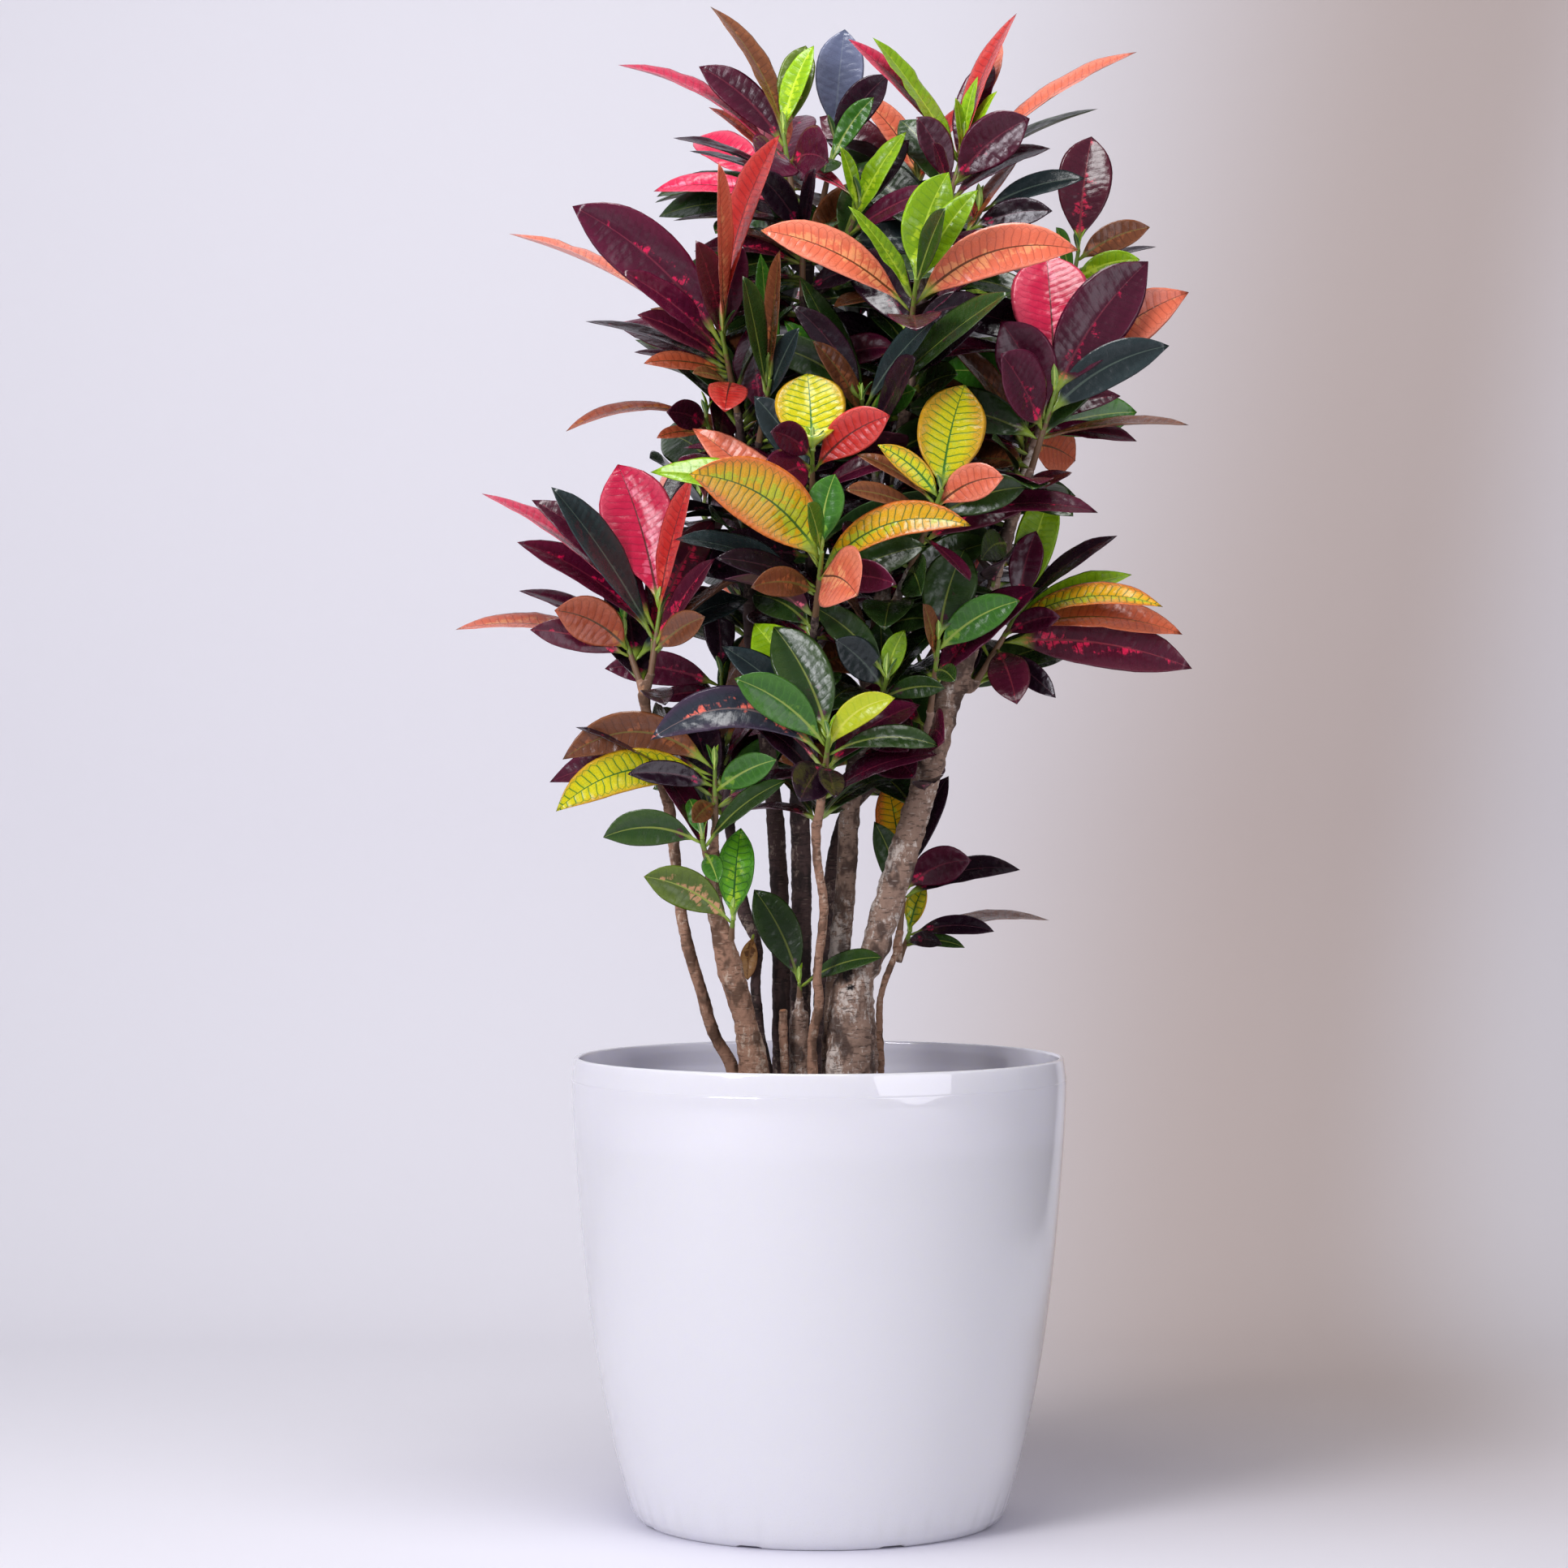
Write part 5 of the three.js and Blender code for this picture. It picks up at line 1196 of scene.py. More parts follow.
# %% Place the inner leaves
everything = solid_tree(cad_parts)
measured_tree = solid_tree("shoot_" + name for name in SHOOTS)
inner_leaves = {name: [] for name in plans}
inner_trees = []
bearers = list(twigs.items())
bearers += [
    (shoot, fork_stretch(cane, twigs[shoot][0].z))
    for cane, forks in FORKS.items() for shoot in forks
]
for seed, (name, line) in enumerate(bearers):
    span = runs_of(line)[-1]
    for order in range(int(span * (INNER_SPAN[1] - INNER_SPAN[0]) / INNER_SPACING) + 1):
        share = INNER_SPAN[1] - order * INNER_SPACING / span
        root = line[round(share * TWIG_STEPS)]
        length = between(INNER_LENGTH, draw(order + 3, seed + 70))
        for attempt in range(INNER_TRIES):
            heading = seed * FIRST_TURN + order * GOLDEN_ANGLE + HEADING_STEP * swing(attempt)
            rise = between(INNER_RISE, draw(seed + 9, order + attempt))
            turn = between(INNER_TURN, draw(seed + attempt, order + 31))
            turn *= math.copysign(1, math.cos(heading))
            kind = INNER_KINDS[int(draw(seed + 2, order * 3 + 1) * len(INNER_KINDS))]
            leaf = filled_leaf(kind, root, heading, rise, turn, length)
            points, sheet = blade_sheet(leaf)
            if not all(in_crown(point) for point in points):
                continue
            if hides(points, measured_tree) > MOST_HIDING:
                continue
            if sheet.overlap(everything) or any(sheet.overlap(other) for other in inner_trees):
                continue
            inner_trees.append(sheet)
            inner_leaves[name].append({**leaf, "order": order + INNER_ORDER, "seed": seed})
            break
print(sum(len(leaves) for leaves in inner_leaves.values()), "inner leaves")

# A withered leaf still hangs on the slender cane at the back.
withered = measured_leaf(**WITHERED)
inner_leaves["back_left_low"].append({**withered, "order": 2 * INNER_ORDER, "seed": 0})

# %% [markdown]
# ## Colours of a croton leaf
# A croton leaf has five colours at once: the blade, its rim, the midrib, the finer veins
# and the blotches that run out between them. Each leaf carries its own five as
# attributes, so one material serves every leaf. Young leaves are green and yellow, older
# ones turn salmon, pink and maroon, and the oldest are nearly black.

# %% Leaf colours: the five tints, then how much the last two show
TINTS = ("blade", "rim", "midrib", "veins", "blotch")
LEAF_COLOURS = {
    "A": ("#d9a214", "#d8702c", "#2c5a1e", "#45601e", "#b9bc24", 0.95, 0.4),
    "B": ("#1e0c19", "#2b1221", "#40222c", "#150910", "#a8164a", 0.3, 0.1),
    "C": ("#6e3f26", "#824e2e", "#746432", "#3f2418", "#a05c34", 0.45, 0.35),
    "D": ("#2a2e37", "#3a2c3e", "#6a5a58", "#1d2026", "#dc6a58", 0.35, 0.3),
    "E": ("#2f6218", "#3e7020", "#93a64a", "#4c8428", "#6f9826", 0.45, 0.2),
    "F": ("#bcc80e", "#c8ca1c", "#d4d850", "#9cb414", "#ccd42c", 0.5, 0.3),
    "G": ("#233b14", "#31481b", "#727e36", "#1e3d18", "#3c1426", 0.35, 0.12),
    # H is a dark leaf painted blue grey: a painted reflection of the sky on its wax.
    "H": ("#585f78", "#6a7088", "#666e80", "#464c64", "#70768e", 0.3, 0.15),
    "K": ("#4c6018", "#5c701f", "#8c9a40", "#3c5016", "#bc8c62", 0.4, 0.36),
    "L": ("#7ea40e", "#90ba18", "#b4d03c", "#5c8c12", "#b0cc24", 0.6, 0.3),
    "M": ("#450b24", "#54102c", "#6c2436", "#2f0618", "#d0144c", 0.35, 0.14),
    "N": ("#5c9e1a", "#4c8c1e", "#205a18", "#245e1a", "#9cc428", 0.9, 0.3),
    "O": ("#ad5030", "#b86040", "#4c381c", "#6c2c20", "#bc6c34", 0.5, 0.35),
    "P": ("#cb1c46", "#d84660", "#52221f", "#8c1436", "#e05c78", 0.6, 0.35),
    "R": ("#b82822", "#c44038", "#4c1818", "#6c141a", "#d24c3c", 0.6, 0.3),
    "S": ("#d4684a", "#dd7c60", "#57301c", "#98402e", "#e29060", 0.6, 0.35),
    "T": ("#202b2c", "#2a3738", "#4c5a50", "#182224", "#34403e", 0.35, 0.15),
    "V": ("#4f1429", "#5c1d2f", "#84303c", "#330a18", "#dc2450", 0.35, 0.34),
    "W": ("#a27a4c", "#8a6038", "#7a5430", "#8a6038", "#5c3c24", 0.5, 0.4),
    "Y": ("#dad00e", "#d8a020", "#2f7020", "#3f7d1e", "#c4cf2c", 1.0, 0.3),
}
print(len(LEAF_COLOURS), "kinds of leaf")

# %% [markdown]
# ### Waxy leaf skin
# The skin is leathery with a coat of wax: strong soft highlights over a saturated blade.
# The veins are drawn in the leaf's own measure, millimetres along and across it, so they
# leave the midrib every 4.7 mm on every leaf whatever its size. They lean a little to the
# tip, alternate from side to side and meet in arches short of the rim. A finer net
# joins them, the blade is puckered between them, and blotches are cut off by them.

# %% Material: waxy croton leaf
VEIN_SPACING = 4.7                    # mm along the midrib
VEIN_LEAN = 0.3                       # mm towards the tip for each mm across
NET_SIZE = 1.5                        # mm, coarser than the real net so that it shows
PATCH_SIZE = 9.0                      # mm
SPECK_SIZE = 1.3                      # mm
WRINKLE_SIZE = 1.6                    # mm
PUCKER_SIZE = 7.0                     # mm
LOOPS = (0.7, 0.85)                   # of the half width, where side veins meet in arches
VEIN_SWAY = (1.8, 6.25)               # mm aside, and mm from one sway to the next
RIB_WIDTH = (1.1, 0.12)               # mm, half of it, at the stalk and at the tip
STALK_GREEN = "#8aa535"

leaf_skin, tree, surface = new_material(
    "croton_leaf_waxy", IOR=1.45, Coat_Weight=0.12, Coat_Roughness=0.1)
mm, share, marks = [
    add(tree, "ShaderNodeAttribute", {"attribute_name": name}).outputs["Vector"]
    for name in ("leaf_mm", "leaf_share", "marks")
]
tint = {
    name: add(tree, "ShaderNodeAttribute", {"attribute_name": name}).outputs["Color"]
    for name in TINTS
}
mm_parts, share_parts, mark_parts = [
    add(tree, "ShaderNodeSeparateXYZ", inputs=[vector]).outputs for vector in (mm, share, marks)
]
away = add(tree, MATH, SIZE, [mm_parts["Y"]])

# The side veins: distance to the nearest line, bent by a little noise.
sway = add(tree, NOISE, inputs={"Vector": mm, "Scale": 1 / VEIN_SWAY[1], "Detail": 1.0})
lean = add(tree, MATH, TIMES_PLUS, [away, -VEIN_LEAN, mm_parts["X"]])
bent = add(tree, MATH, TIMES_PLUS, [sway, VEIN_SWAY[0], lean])
which = add(tree, MATH, SIGN, [mm_parts["Y"]])
other = add(tree, MATH, TIMES_PLUS, [which, VEIN_SPACING / 4, bent])
from_vein = add(tree, MATH, {"operation": "PINGPONG"}, [other, VEIN_SPACING / 2])
side_vein = add(tree, RAMP, SMOOTH, {
    "Value": from_vein, "From Min": 0.12, "From Max": 0.5, "To Min": 1.0, "To Max": 0.0})
halo = add(tree, RAMP, SMOOTH,
           {"Value": from_vein, "From Min": 0.1, "From Max": 1.5, "To Min": 0.22, "To Max": 0.0})
net_cells = add(tree, "ShaderNodeTexVoronoi", {"feature": "DISTANCE_TO_EDGE"},
                {"Vector": mm, "Scale": 1 / NET_SIZE, "Randomness": 0.9})
net = add(tree, RAMP, inputs={
    "Value": net_cells, "From Min": 0.02, "From Max": 0.1, "To Min": 0.28, "To Max": 0.0})

# The arches: out from one side vein's end, round and back to the next.
arch_at = add(tree, RAMP, inputs={
    "Value": from_vein, "From Max": VEIN_SPACING / 2, "To Min": LOOPS[0], "To Max": LOOPS[1]})
past = add(tree, MATH, MINUS, [share_parts["Y"], arch_at])
inside = add(tree, MATH, {"operation": "LESS_THAN"}, [past, 0.0])
ended = add(tree, MATH, TIMES, [side_vein, inside])
some = add(tree, MATH, LARGER, [share_parts["Y"], 0.05])
half_mm = add(tree, MATH, OVER, [away, some])
past_mm = add(tree, MATH, TIMES, [past, half_mm])
off_arch = add(tree, MATH, SIZE, [past_mm])
arch = add(tree, RAMP, SMOOTH,
           {"Value": off_arch, "From Min": 0.1, "From Max": 0.45, "To Min": 0.8, "To Max": 0.0})
drawn = add(tree, MATH, LARGER, [ended, arch])
strong = add(tree, MATH, LARGER, [drawn, halo])
fine = add(tree, MATH, LARGER, [strong, net])
to_rim = add(tree, RAMP, SMOOTH, {
    "Value": share_parts["Y"], "From Min": 0.85, "From Max": 0.98, "To Min": 1.0, "To Max": 0.2})
fading = add(tree, MATH, TIMES, [fine, to_rim])
vein_mask = add(tree, MATH, {"operation": "MULTIPLY", "use_clamp": True},
                [fading, mark_parts["X"]])

# The midrib tapers from the stalk to the tip.
rib_edge = add(tree, RAMP, inputs={
    "Value": share_parts["X"], "To Min": RIB_WIDTH[0], "To Max": RIB_WIDTH[1]})
rib_ratio = add(tree, MATH, OVER, [away, rib_edge])
rib_mask = add(tree, RAMP, SMOOTH, {
    "Value": rib_ratio, "From Min": 0.55, "From Max": 1.15, "To Min": 0.95, "To Max": 0.0})

# Blotches: patches cut off by the veins, strongest near the midrib and the stalk and
# on one side of it.
patches = add(tree, NOISE,
              inputs={"Vector": mm, "Scale": 1 / PATCH_SIZE, "Detail": 3.0, "Roughness": 0.65})
cut = add(tree, MATH, TIMES_PLUS, [side_vein, -0.16, patches])
near_rib = add(tree, RAMP, inputs={
    "Value": share_parts["Y"], "From Max": 0.9, "To Min": 0.12, "To Max": -0.16})
near_stalk = add(tree, RAMP, inputs={
    "Value": share_parts["X"], "From Min": 0.1, "From Max": 0.75, "To Min": 0.1, "To Max": -0.1})
one_side = add(tree, MATH, TIMES_PLUS, [which, 0.04, near_stalk])
placed = add(tree, MATH, PLUS, [near_rib, one_side])
nearer = add(tree, MATH, PLUS, [cut, placed])
amount = add(tree, MATH, TIMES_PLUS, [mark_parts["Y"], 0.34, nearer])
blotch_mask = add(tree, RAMP, SMOOTH, {"Value": amount, "From Min": 0.66, "From Max": 0.78})

# The rim's colour reaches inward further at the tip.
rim_place = add(tree, MATH, TIMES_PLUS, [share_parts["X"], mark_parts["Z"], share_parts["Y"]])
rim_noise = add(tree, MATH, TIMES_PLUS, [patches, 0.35, rim_place])
rim_mask = add(tree, RAMP, SMOOTH, {"Value": rim_noise, "From Min": 0.85, "From Max": 1.35})

# Specks: pale pores that break an even blade.
pores = add(tree, "ShaderNodeTexVoronoi", inputs={"Vector": mm, "Scale": 1 / SPECK_SIZE})
speck_mask = add(tree, RAMP, inputs={
    "Value": pores, "From Min": 0.08, "From Max": 0.2, "To Min": 0.22, "To Max": 0.0})

colour = tint["blade"]
for mask, over in ((rim_mask, tint["rim"]), (blotch_mask, tint["blotch"]),
                   (vein_mask, tint["veins"]), (rib_mask, tint["midrib"])):
    colour = add(tree, MIX, COLOURS, {0: mask, 6: colour, 7: over}).outputs[2]
speckled = add(tree, MIX, {"data_type": "RGBA", "blend_type": "SCREEN"},
               {0: speck_mask, 6: colour, 7: tint["rim"]}).outputs[2]

# The stalk stays fresh green whatever the blade's colour.
stalk_mask = add(tree, RAMP, SMOOTH, {
    "Value": share_parts["X"], "From Min": 0.1, "From Max": 0.19, "To Min": 0.85, "To Max": 0.0})
stalked = add(tree, MIX, COLOURS, {0: stalk_mask, 6: speckled, 7: srgb(STALK_GREEN)}).outputs[2]

# The underside has less wax and shows paler.
below = add(tree, RAMP, inputs={
    "Value": mm_parts["Z"], "From Min": -0.25, "From Max": 0.05, "To Min": 1.0, "To Max": 0.0})
paler = add(tree, "ShaderNodeHueSaturation",
            inputs={"Saturation": 0.82, "Value": 1.25, "Color": stalked})
sided = add(tree, MIX, COLOURS, {0: below, 6: stalked, 7: paler})
wax = add(tree, RAMP, inputs={
    "Value": patches, "From Min": 0.3, "From Max": 0.7, "To Min": 0.2, "To Max": 0.32})
dry = add(tree, MATH, {"operation": "MULTIPLY_ADD", "use_clamp": True}, [below, 0.2, wax])
sunk = add(tree, MATH, LARGER, [side_vein, rib_mask])
dome = add(tree, MATH, TIMES_PLUS, [sunk, -0.5, from_vein])
facing = add(tree, MATH, SIGN, [mm_parts["Z"]])
sided_dome = add(tree, MATH, TIMES, [dome, facing])
depth = add(tree, MATH, TIMES, [mark_parts["X"], 0.42])
raised = add(tree, MATH, TIMES, [sided_dome, depth])
wrinkles = add(tree, NOISE,
               inputs={"Vector": mm, "Scale": 1 / WRINKLE_SIZE, "Detail": 3.0, "Roughness": 0.6})
creased = add(tree, MATH, TIMES_PLUS, [wrinkles, 0.6, raised])
puckers = add(tree, NOISE, inputs={"Vector": mm, "Scale": 1 / PUCKER_SIZE, "Detail": 1.0})
puckered = add(tree, MATH, TIMES_PLUS, [puckers, 4.5, creased])
relief = add(tree, "ShaderNodeBump",
             inputs={"Strength": 0.4, "Distance": 0.5 * MM, "Height": puckered})
feed(tree, surface, {"Base Color": sided.outputs[2], "Roughness": dry, "Normal": relief})
print("leaf material:", len(tree.nodes), "nodes")

# %% [markdown]
# ### Green stem
# The youngest wood is still green: smooth, with a skin that cracks to brown cork in
# patches and is cork all over further down, with no more shine than a fresh twig.

# %% Material: fresh green stem
CORK_PATCH = 3.5                      # mm
STEM_GREEN, CORK_BROWN = "#6f8a2e", "#75543f"
stem_skin, tree, surface = new_material("croton_stem_green", Roughness=0.5)
place = add(tree, "ShaderNodeTexCoord").outputs["Object"]
age = add(tree, "ShaderNodeAttribute", {"attribute_name": "age"}).outputs["Fac"]
cork = add(tree, NOISE, inputs={"Vector": place, "Scale": 1 / (CORK_PATCH * MM), "Detail": 3.0})
aged = add(tree, MATH, TIMES_PLUS, [age, 0.75, cork])
cork_mask = add(tree, RAMP, SMOOTH,
                {"Value": aged, "From Min": 0.66, "From Max": 0.84, "To Max": 0.95})
colour = add(tree, MIX, COLOURS, {0: cork_mask, 6: srgb(STEM_GREEN), 7: srgb(CORK_BROWN)})
skin = add(tree, "ShaderNodeBump", inputs={"Strength": 0.4, "Distance": 0.3 * MM, "Height": cork})
feed(tree, surface, {"Base Color": colour.outputs[2], "Normal": skin})
print("stem material:", stem_skin.name)

# %% [markdown]
# ## Growing a shoot
# Every blade follows one rule, so one geometry tree grows them all. Python only lays out
# points: one for each leaf, which carries where the leaf starts, bends and ends, which
# way it faces and how wide it is, and a few along the green stem. The tree puts a coarse
# round bead on each leaf point. A bead is closed and has two faces, an upper and a lower
# one, and a rim between them, just as a blade has. Its height becomes the place along
# the leaf and its two other directions become across and through it.

# %% The blade's outline, widest past the middle and drawn out to a short point
OUTLINE = [
    (0.0, 0.05), (0.08, 0.07), (0.14, 0.2), (0.23, 0.5), (0.35, 0.8), (0.47, 0.96),
    (0.58, 1.0), (0.7, 0.95), (0.81, 0.77), (0.9, 0.48), (0.96, 0.2), (1.0, 0.0),
]
OUTWARD = 1.5                         # over 1, a bead's faces crowd towards the midrib
KEEL_SHARPNESS = 5.0
SHOOT_SIZES = {
    "Sections": 16, "Rings": 18, "Fold": 0.2, "Blade thickness": 0.9 * MM,
    "Stalk radius": 1.0 * MM, "Keel": 0.9 * MM, "Wave length": 17.0 * MM,
    "Leaf finish": leaf_skin, "Stem finish": stem_skin,
}
POINT_DATA = {
    "leaf": "BOOLEAN", "root": "FLOAT_VECTOR", "middle": "FLOAT_VECTOR", "tip": "FLOAT_VECTOR",
    "facing": "FLOAT_VECTOR", "width": "FLOAT", "wave": "FLOAT", "phase": "FLOAT",
    "belly": "FLOAT", "thick": "FLOAT",
}

# %% Tree: a bead for each leaf, read back as along, across and through
tree, given = new_tree("leafy_shoot", SHOOT_SIZES)
read = {
    name: add(tree, "GeometryNodeInputNamedAttribute", {"data_type": kind}, {"Name": name})
    for name, kind in {**POINT_DATA, "bead": "FLOAT_VECTOR"}.items()
}
position = add(tree, "GeometryNodeInputPosition")
bead = add(tree, "GeometryNodeMeshUVSphere",
           inputs={"Segments": given["Sections"], "Rings": given["Rings"], "Radius": 1.0})
marked = add(tree, "GeometryNodeStoreNamedAttribute", THREE_NUMBERS,
             {"Geometry": bead, "Name": "bead", "Value": position})
placed = add(tree, "GeometryNodeInstanceOnPoints",
             inputs={"Points": given["Geometry"], "Selection": read["leaf"], "Instance": marked})
beads = add(tree, "GeometryNodeRealizeInstances", inputs=[placed])
parts = add(tree, "ShaderNodeSeparateXYZ", inputs=[read["bead"]]).outputs
polar = add(tree, MATH, {"operation": "ARCCOSINE"}, [parts["Z"]])
along = add(tree, MATH, OVER, [polar, math.pi])
ring = add(tree, MATH, {"operation": "SINE"}, [polar])
safe_ring = add(tree, MATH, LARGER, [ring, 0.001])
even = add(tree, MATH, OVER, [parts["X"], safe_ring])
through = add(tree, MATH, OVER, [parts["Y"], safe_ring])
even_size = add(tree, MATH, SIZE, [even])
out = add(tree, MATH, POWER, [even_size, OUTWARD])
which = add(tree, MATH, SIGN, [even])
across = add(tree, MATH, TIMES, [out, which])
print("bead tree begun:", len(tree.nodes), "nodes")

# %% Tree: half width, thickness and lift of the blade at each place
shifted = add(tree, MATH, POWER, [along, read["belly"]])
outline = add(tree, "ShaderNodeFloatCurve", inputs={"Value": shifted})
curve = outline.mapping.curves[0]
for point, (x, y) in zip(curve.points, (OUTLINE[0], OUTLINE[-1])):
    point.location = (x, y)
for x, y in OUTLINE[1:-1]:
    curve.points.new(x, y)
outline.mapping.update()
to_tip = add(tree, MATH, MINUS, [1.0, along])
stalk = add(tree, MATH, TIMES, [to_tip, given["Stalk radius"]])
wide = add(tree, MATH, TIMES, [read["width"], outline])
half_wide = add(tree, MATH, TIMES, [wide, 0.5])
half = add(tree, MATH, LARGER, [half_wide, stalk])
flat = add(tree, RAMP, SMOOTH, {"Value": along, "From Min": 0.06, "From Max": 0.22})
blade = add(tree, MATH, TIMES, [given["Blade thickness"], 0.5])
thick = add(tree, MIX, inputs={0: flat, 2: half, 3: blade})
inner = add(tree, MATH, MINUS, [1.0, out])
ridge = add(tree, MATH, POWER, [inner, KEEL_SHARPNESS])
keel_here = add(tree, MATH, TIMES, [to_tip, given["Keel"]])
keel = add(tree, MATH, TIMES, [ridge, keel_here])
under = add(tree, MATH, {"operation": "MINIMUM"}, [through, 0.0])
keel_under = add(tree, MATH, TIMES, [keel, under])
skin = add(tree, MATH, TIMES_PLUS, [through, thick, keel_under])
length = add(tree, VECTOR_MATH, DISTANCE, [read["root"], read["tip"]]).outputs["Value"]
run = add(tree, MATH, TIMES, [along, length])
beat = add(tree, MATH, OVER, [run, given["Wave length"]])
spot = add(tree, "ShaderNodeCombineXYZ", inputs=[beat, across, read["phase"]])
ripple = add(tree, NOISE, inputs={"Vector": spot, "Scale": 1.0, "Detail": 1.0})
centred = add(tree, MATH, MINUS, [ripple, 0.5])
outer = add(tree, MATH, TIMES, [out, read["wave"]])
wave = add(tree, MATH, TIMES, [centred, outer])
folded = add(tree, MATH, TIMES_PLUS, [out, given["Fold"], wave])
raised = add(tree, MATH, TIMES_PLUS, [folded, half, skin])
sideways = add(tree, MATH, TIMES, [across, half])
print("blade shape:", len(tree.nodes), "nodes")

# %% Tree: bend the blade along its midrib, which is a curve through three points
near_half = add(tree, MIX, VECTORS, {0: along, 4: read["root"], 5: read["middle"]}).outputs[1]
far_half = add(tree, MIX, VECTORS, {0: along, 4: read["middle"], 5: read["tip"]}).outputs[1]
midrib = add(tree, MIX, VECTORS, {0: along, 4: near_half, 5: far_half}).outputs[1]
onward = add(tree, VECTOR_MATH, MINUS, [far_half, near_half])
forward = add(tree, VECTOR_MATH, {"operation": "NORMALIZE"}, [onward])
beside = add(tree, VECTOR_MATH, {"operation": "CROSS_PRODUCT"}, [forward, read["facing"]])
side = add(tree, VECTOR_MATH, {"operation": "NORMALIZE"}, [beside])
upper = add(tree, VECTOR_MATH, {"operation": "CROSS_PRODUCT"}, [side, forward])
move_out = add(tree, VECTOR_MATH, SCALED, {0: side, "Scale": sideways})
move_up = add(tree, VECTOR_MATH, SCALED, {0: upper, "Scale": raised})
moved = add(tree, VECTOR_MATH, PLUS, [move_out, move_up])
where = add(tree, VECTOR_MATH, PLUS, [midrib, moved])
blades = add(tree, "GeometryNodeSetPosition", inputs={"Geometry": beads, "Position": where})
metres = add(tree, "ShaderNodeCombineXYZ", inputs=[run, sideways])
in_mm = add(tree, VECTOR_MATH, SCALED, {0: metres, "Scale": 1 / MM})
face = add(tree, "ShaderNodeCombineXYZ", inputs={2: through})
leaf_mm = add(tree, VECTOR_MATH, PLUS, [in_mm, face])
leaf_share = add(tree, "ShaderNodeCombineXYZ", inputs=[along, out])
print("bent along the midrib:", len(tree.nodes), "nodes")

# %% Tree: keep the leaf's own measure for the material, add the stem and finish
for name, value in (("leaf_mm", leaf_mm), ("leaf_share", leaf_share)):
    blades = add(tree, "GeometryNodeStoreNamedAttribute", THREE_NUMBERS,
                 {"Geometry": blades, "Name": name, "Value": value})
blades = add(tree, "GeometryNodeSetMaterial", inputs={0: blades, "Material": given["Leaf finish"]})
line = add(tree, "GeometryNodeMeshToCurve", inputs=[given["Geometry"]])
round_section = add(tree, "GeometryNodeCurvePrimitiveCircle",
                    inputs={"Resolution": 12, "Radius": 1.0})
stem = add(tree, "GeometryNodeCurveToMesh", inputs={
    "Curve": line, "Profile Curve": round_section, "Scale": read["thick"], "Fill Caps": True})
stem = add(tree, "GeometryNodeSetMaterial", inputs={0: stem, "Material": given["Stem finish"]})
joined = add(tree, "GeometryNodeJoinGeometry")
for body in (blades, stem):
    tree.links.new(body.outputs[0], joined.inputs[0])
for name in (*POINT_DATA, "bead"):
    joined = add(tree, "GeometryNodeRemoveAttribute", inputs={0: joined, "Name": name})
smooth = add(tree, "GeometryNodeSetShadeSmooth", inputs=[joined])
real = add(tree, "GeometryNodeRealizeInstances", inputs=[smooth])
add(tree, "NodeGroupOutput", inputs=[real])
shoot_tree = tree
print("leafy shoot tree:", len(tree.nodes), "nodes")

# %% Lay out a shoot's points and grow it
STEM_RADIUS = (2.1, 1.1)              # mm, at the foot and at the bud
STEM_POINTS = 25
SCAR_RISE = 0.16                      # how far a leaf's scar stands out, of the radius
SCAR_REACH = 1.3                      # mm up and down the stem
# How far a rim waves up and down, of the half width, and where a blade is widest: over 1
# its widest place lies nearer the tip. Both go by the kind of leaf.
WAVES = {"B": 0.3, "M": 0.28, "V": 0.35, "L": 0.6, "N": 0.45, "G": 0.2, "T": 0.2}
USUAL_WAVE = 0.25
BELLIES = {"Y": (0.8, 0.95), "A": (0.8, 0.95), "N": (0.8, 0.95), "L": (0.85, 1.0), "P": (1.1, 1.3)}
USUAL_BELLY = (0.9, 1.15)
SPEAR_LEAVES = 3                      # unopened leaves at the bud
SPEAR_LENGTH = (11.0, 19.0)
SPEAR_WIDTH = 0.24                    # of its length
SPEAR_RISE = (62, 9)                  # degrees of the first one, and more for each next
SPEAR_TURN = 2.1                      # radians from one shoot's first one to the next's
LEAF_BRIGHTNESS = (0.85, 1.25)


def stem_points(plan, leaves):
    """Points and radii up the green stem, thicker at each leaf's scar."""
    foot, bud = stem_line(plan)
    scars = [(leaf["root"] - foot).length for leaf in leaves]
    rows = []
    for k in range(STEM_POINTS):
        share = k / (STEM_POINTS - 1)
        run = share * plan["stem"]
        bulge = max([math.exp(-((run - scar) / SCAR_REACH) ** 2) for scar in scars] or [0])
        radius = between(STEM_RADIUS, share) * (1 + SCAR_RISE * bulge)
        rows.append({"at": foot.lerp(bud, share), "thick": radius, "age": 1 - share})
    return rows


def spear_leaves(plan, seed):
    """The unopened leaves that stand round the bud."""
    foot, bud = stem_line(plan)
    for k in range(SPEAR_LEAVES):
        heading = seed * SPEAR_TURN + k * GOLDEN_ANGLE
        length = between(SPEAR_LENGTH, draw(seed + 11, k))
        leaf = filled_leaf("L" if k else "E", bud.lerp(foot, 0.04), heading,
                           math.radians(SPEAR_RISE[0] + SPEAR_RISE[1] * k), 0, length)
        yield {**leaf, "width": length * SPEAR_WIDTH, "order": k, "seed": seed}


def shade(hex_colour, amount):
    """A colour made lighter or darker by a share, still as linear light."""
    red, green, blue, alpha = srgb(hex_colour)
    return (red * amount, green * amount, blue * amount, alpha)


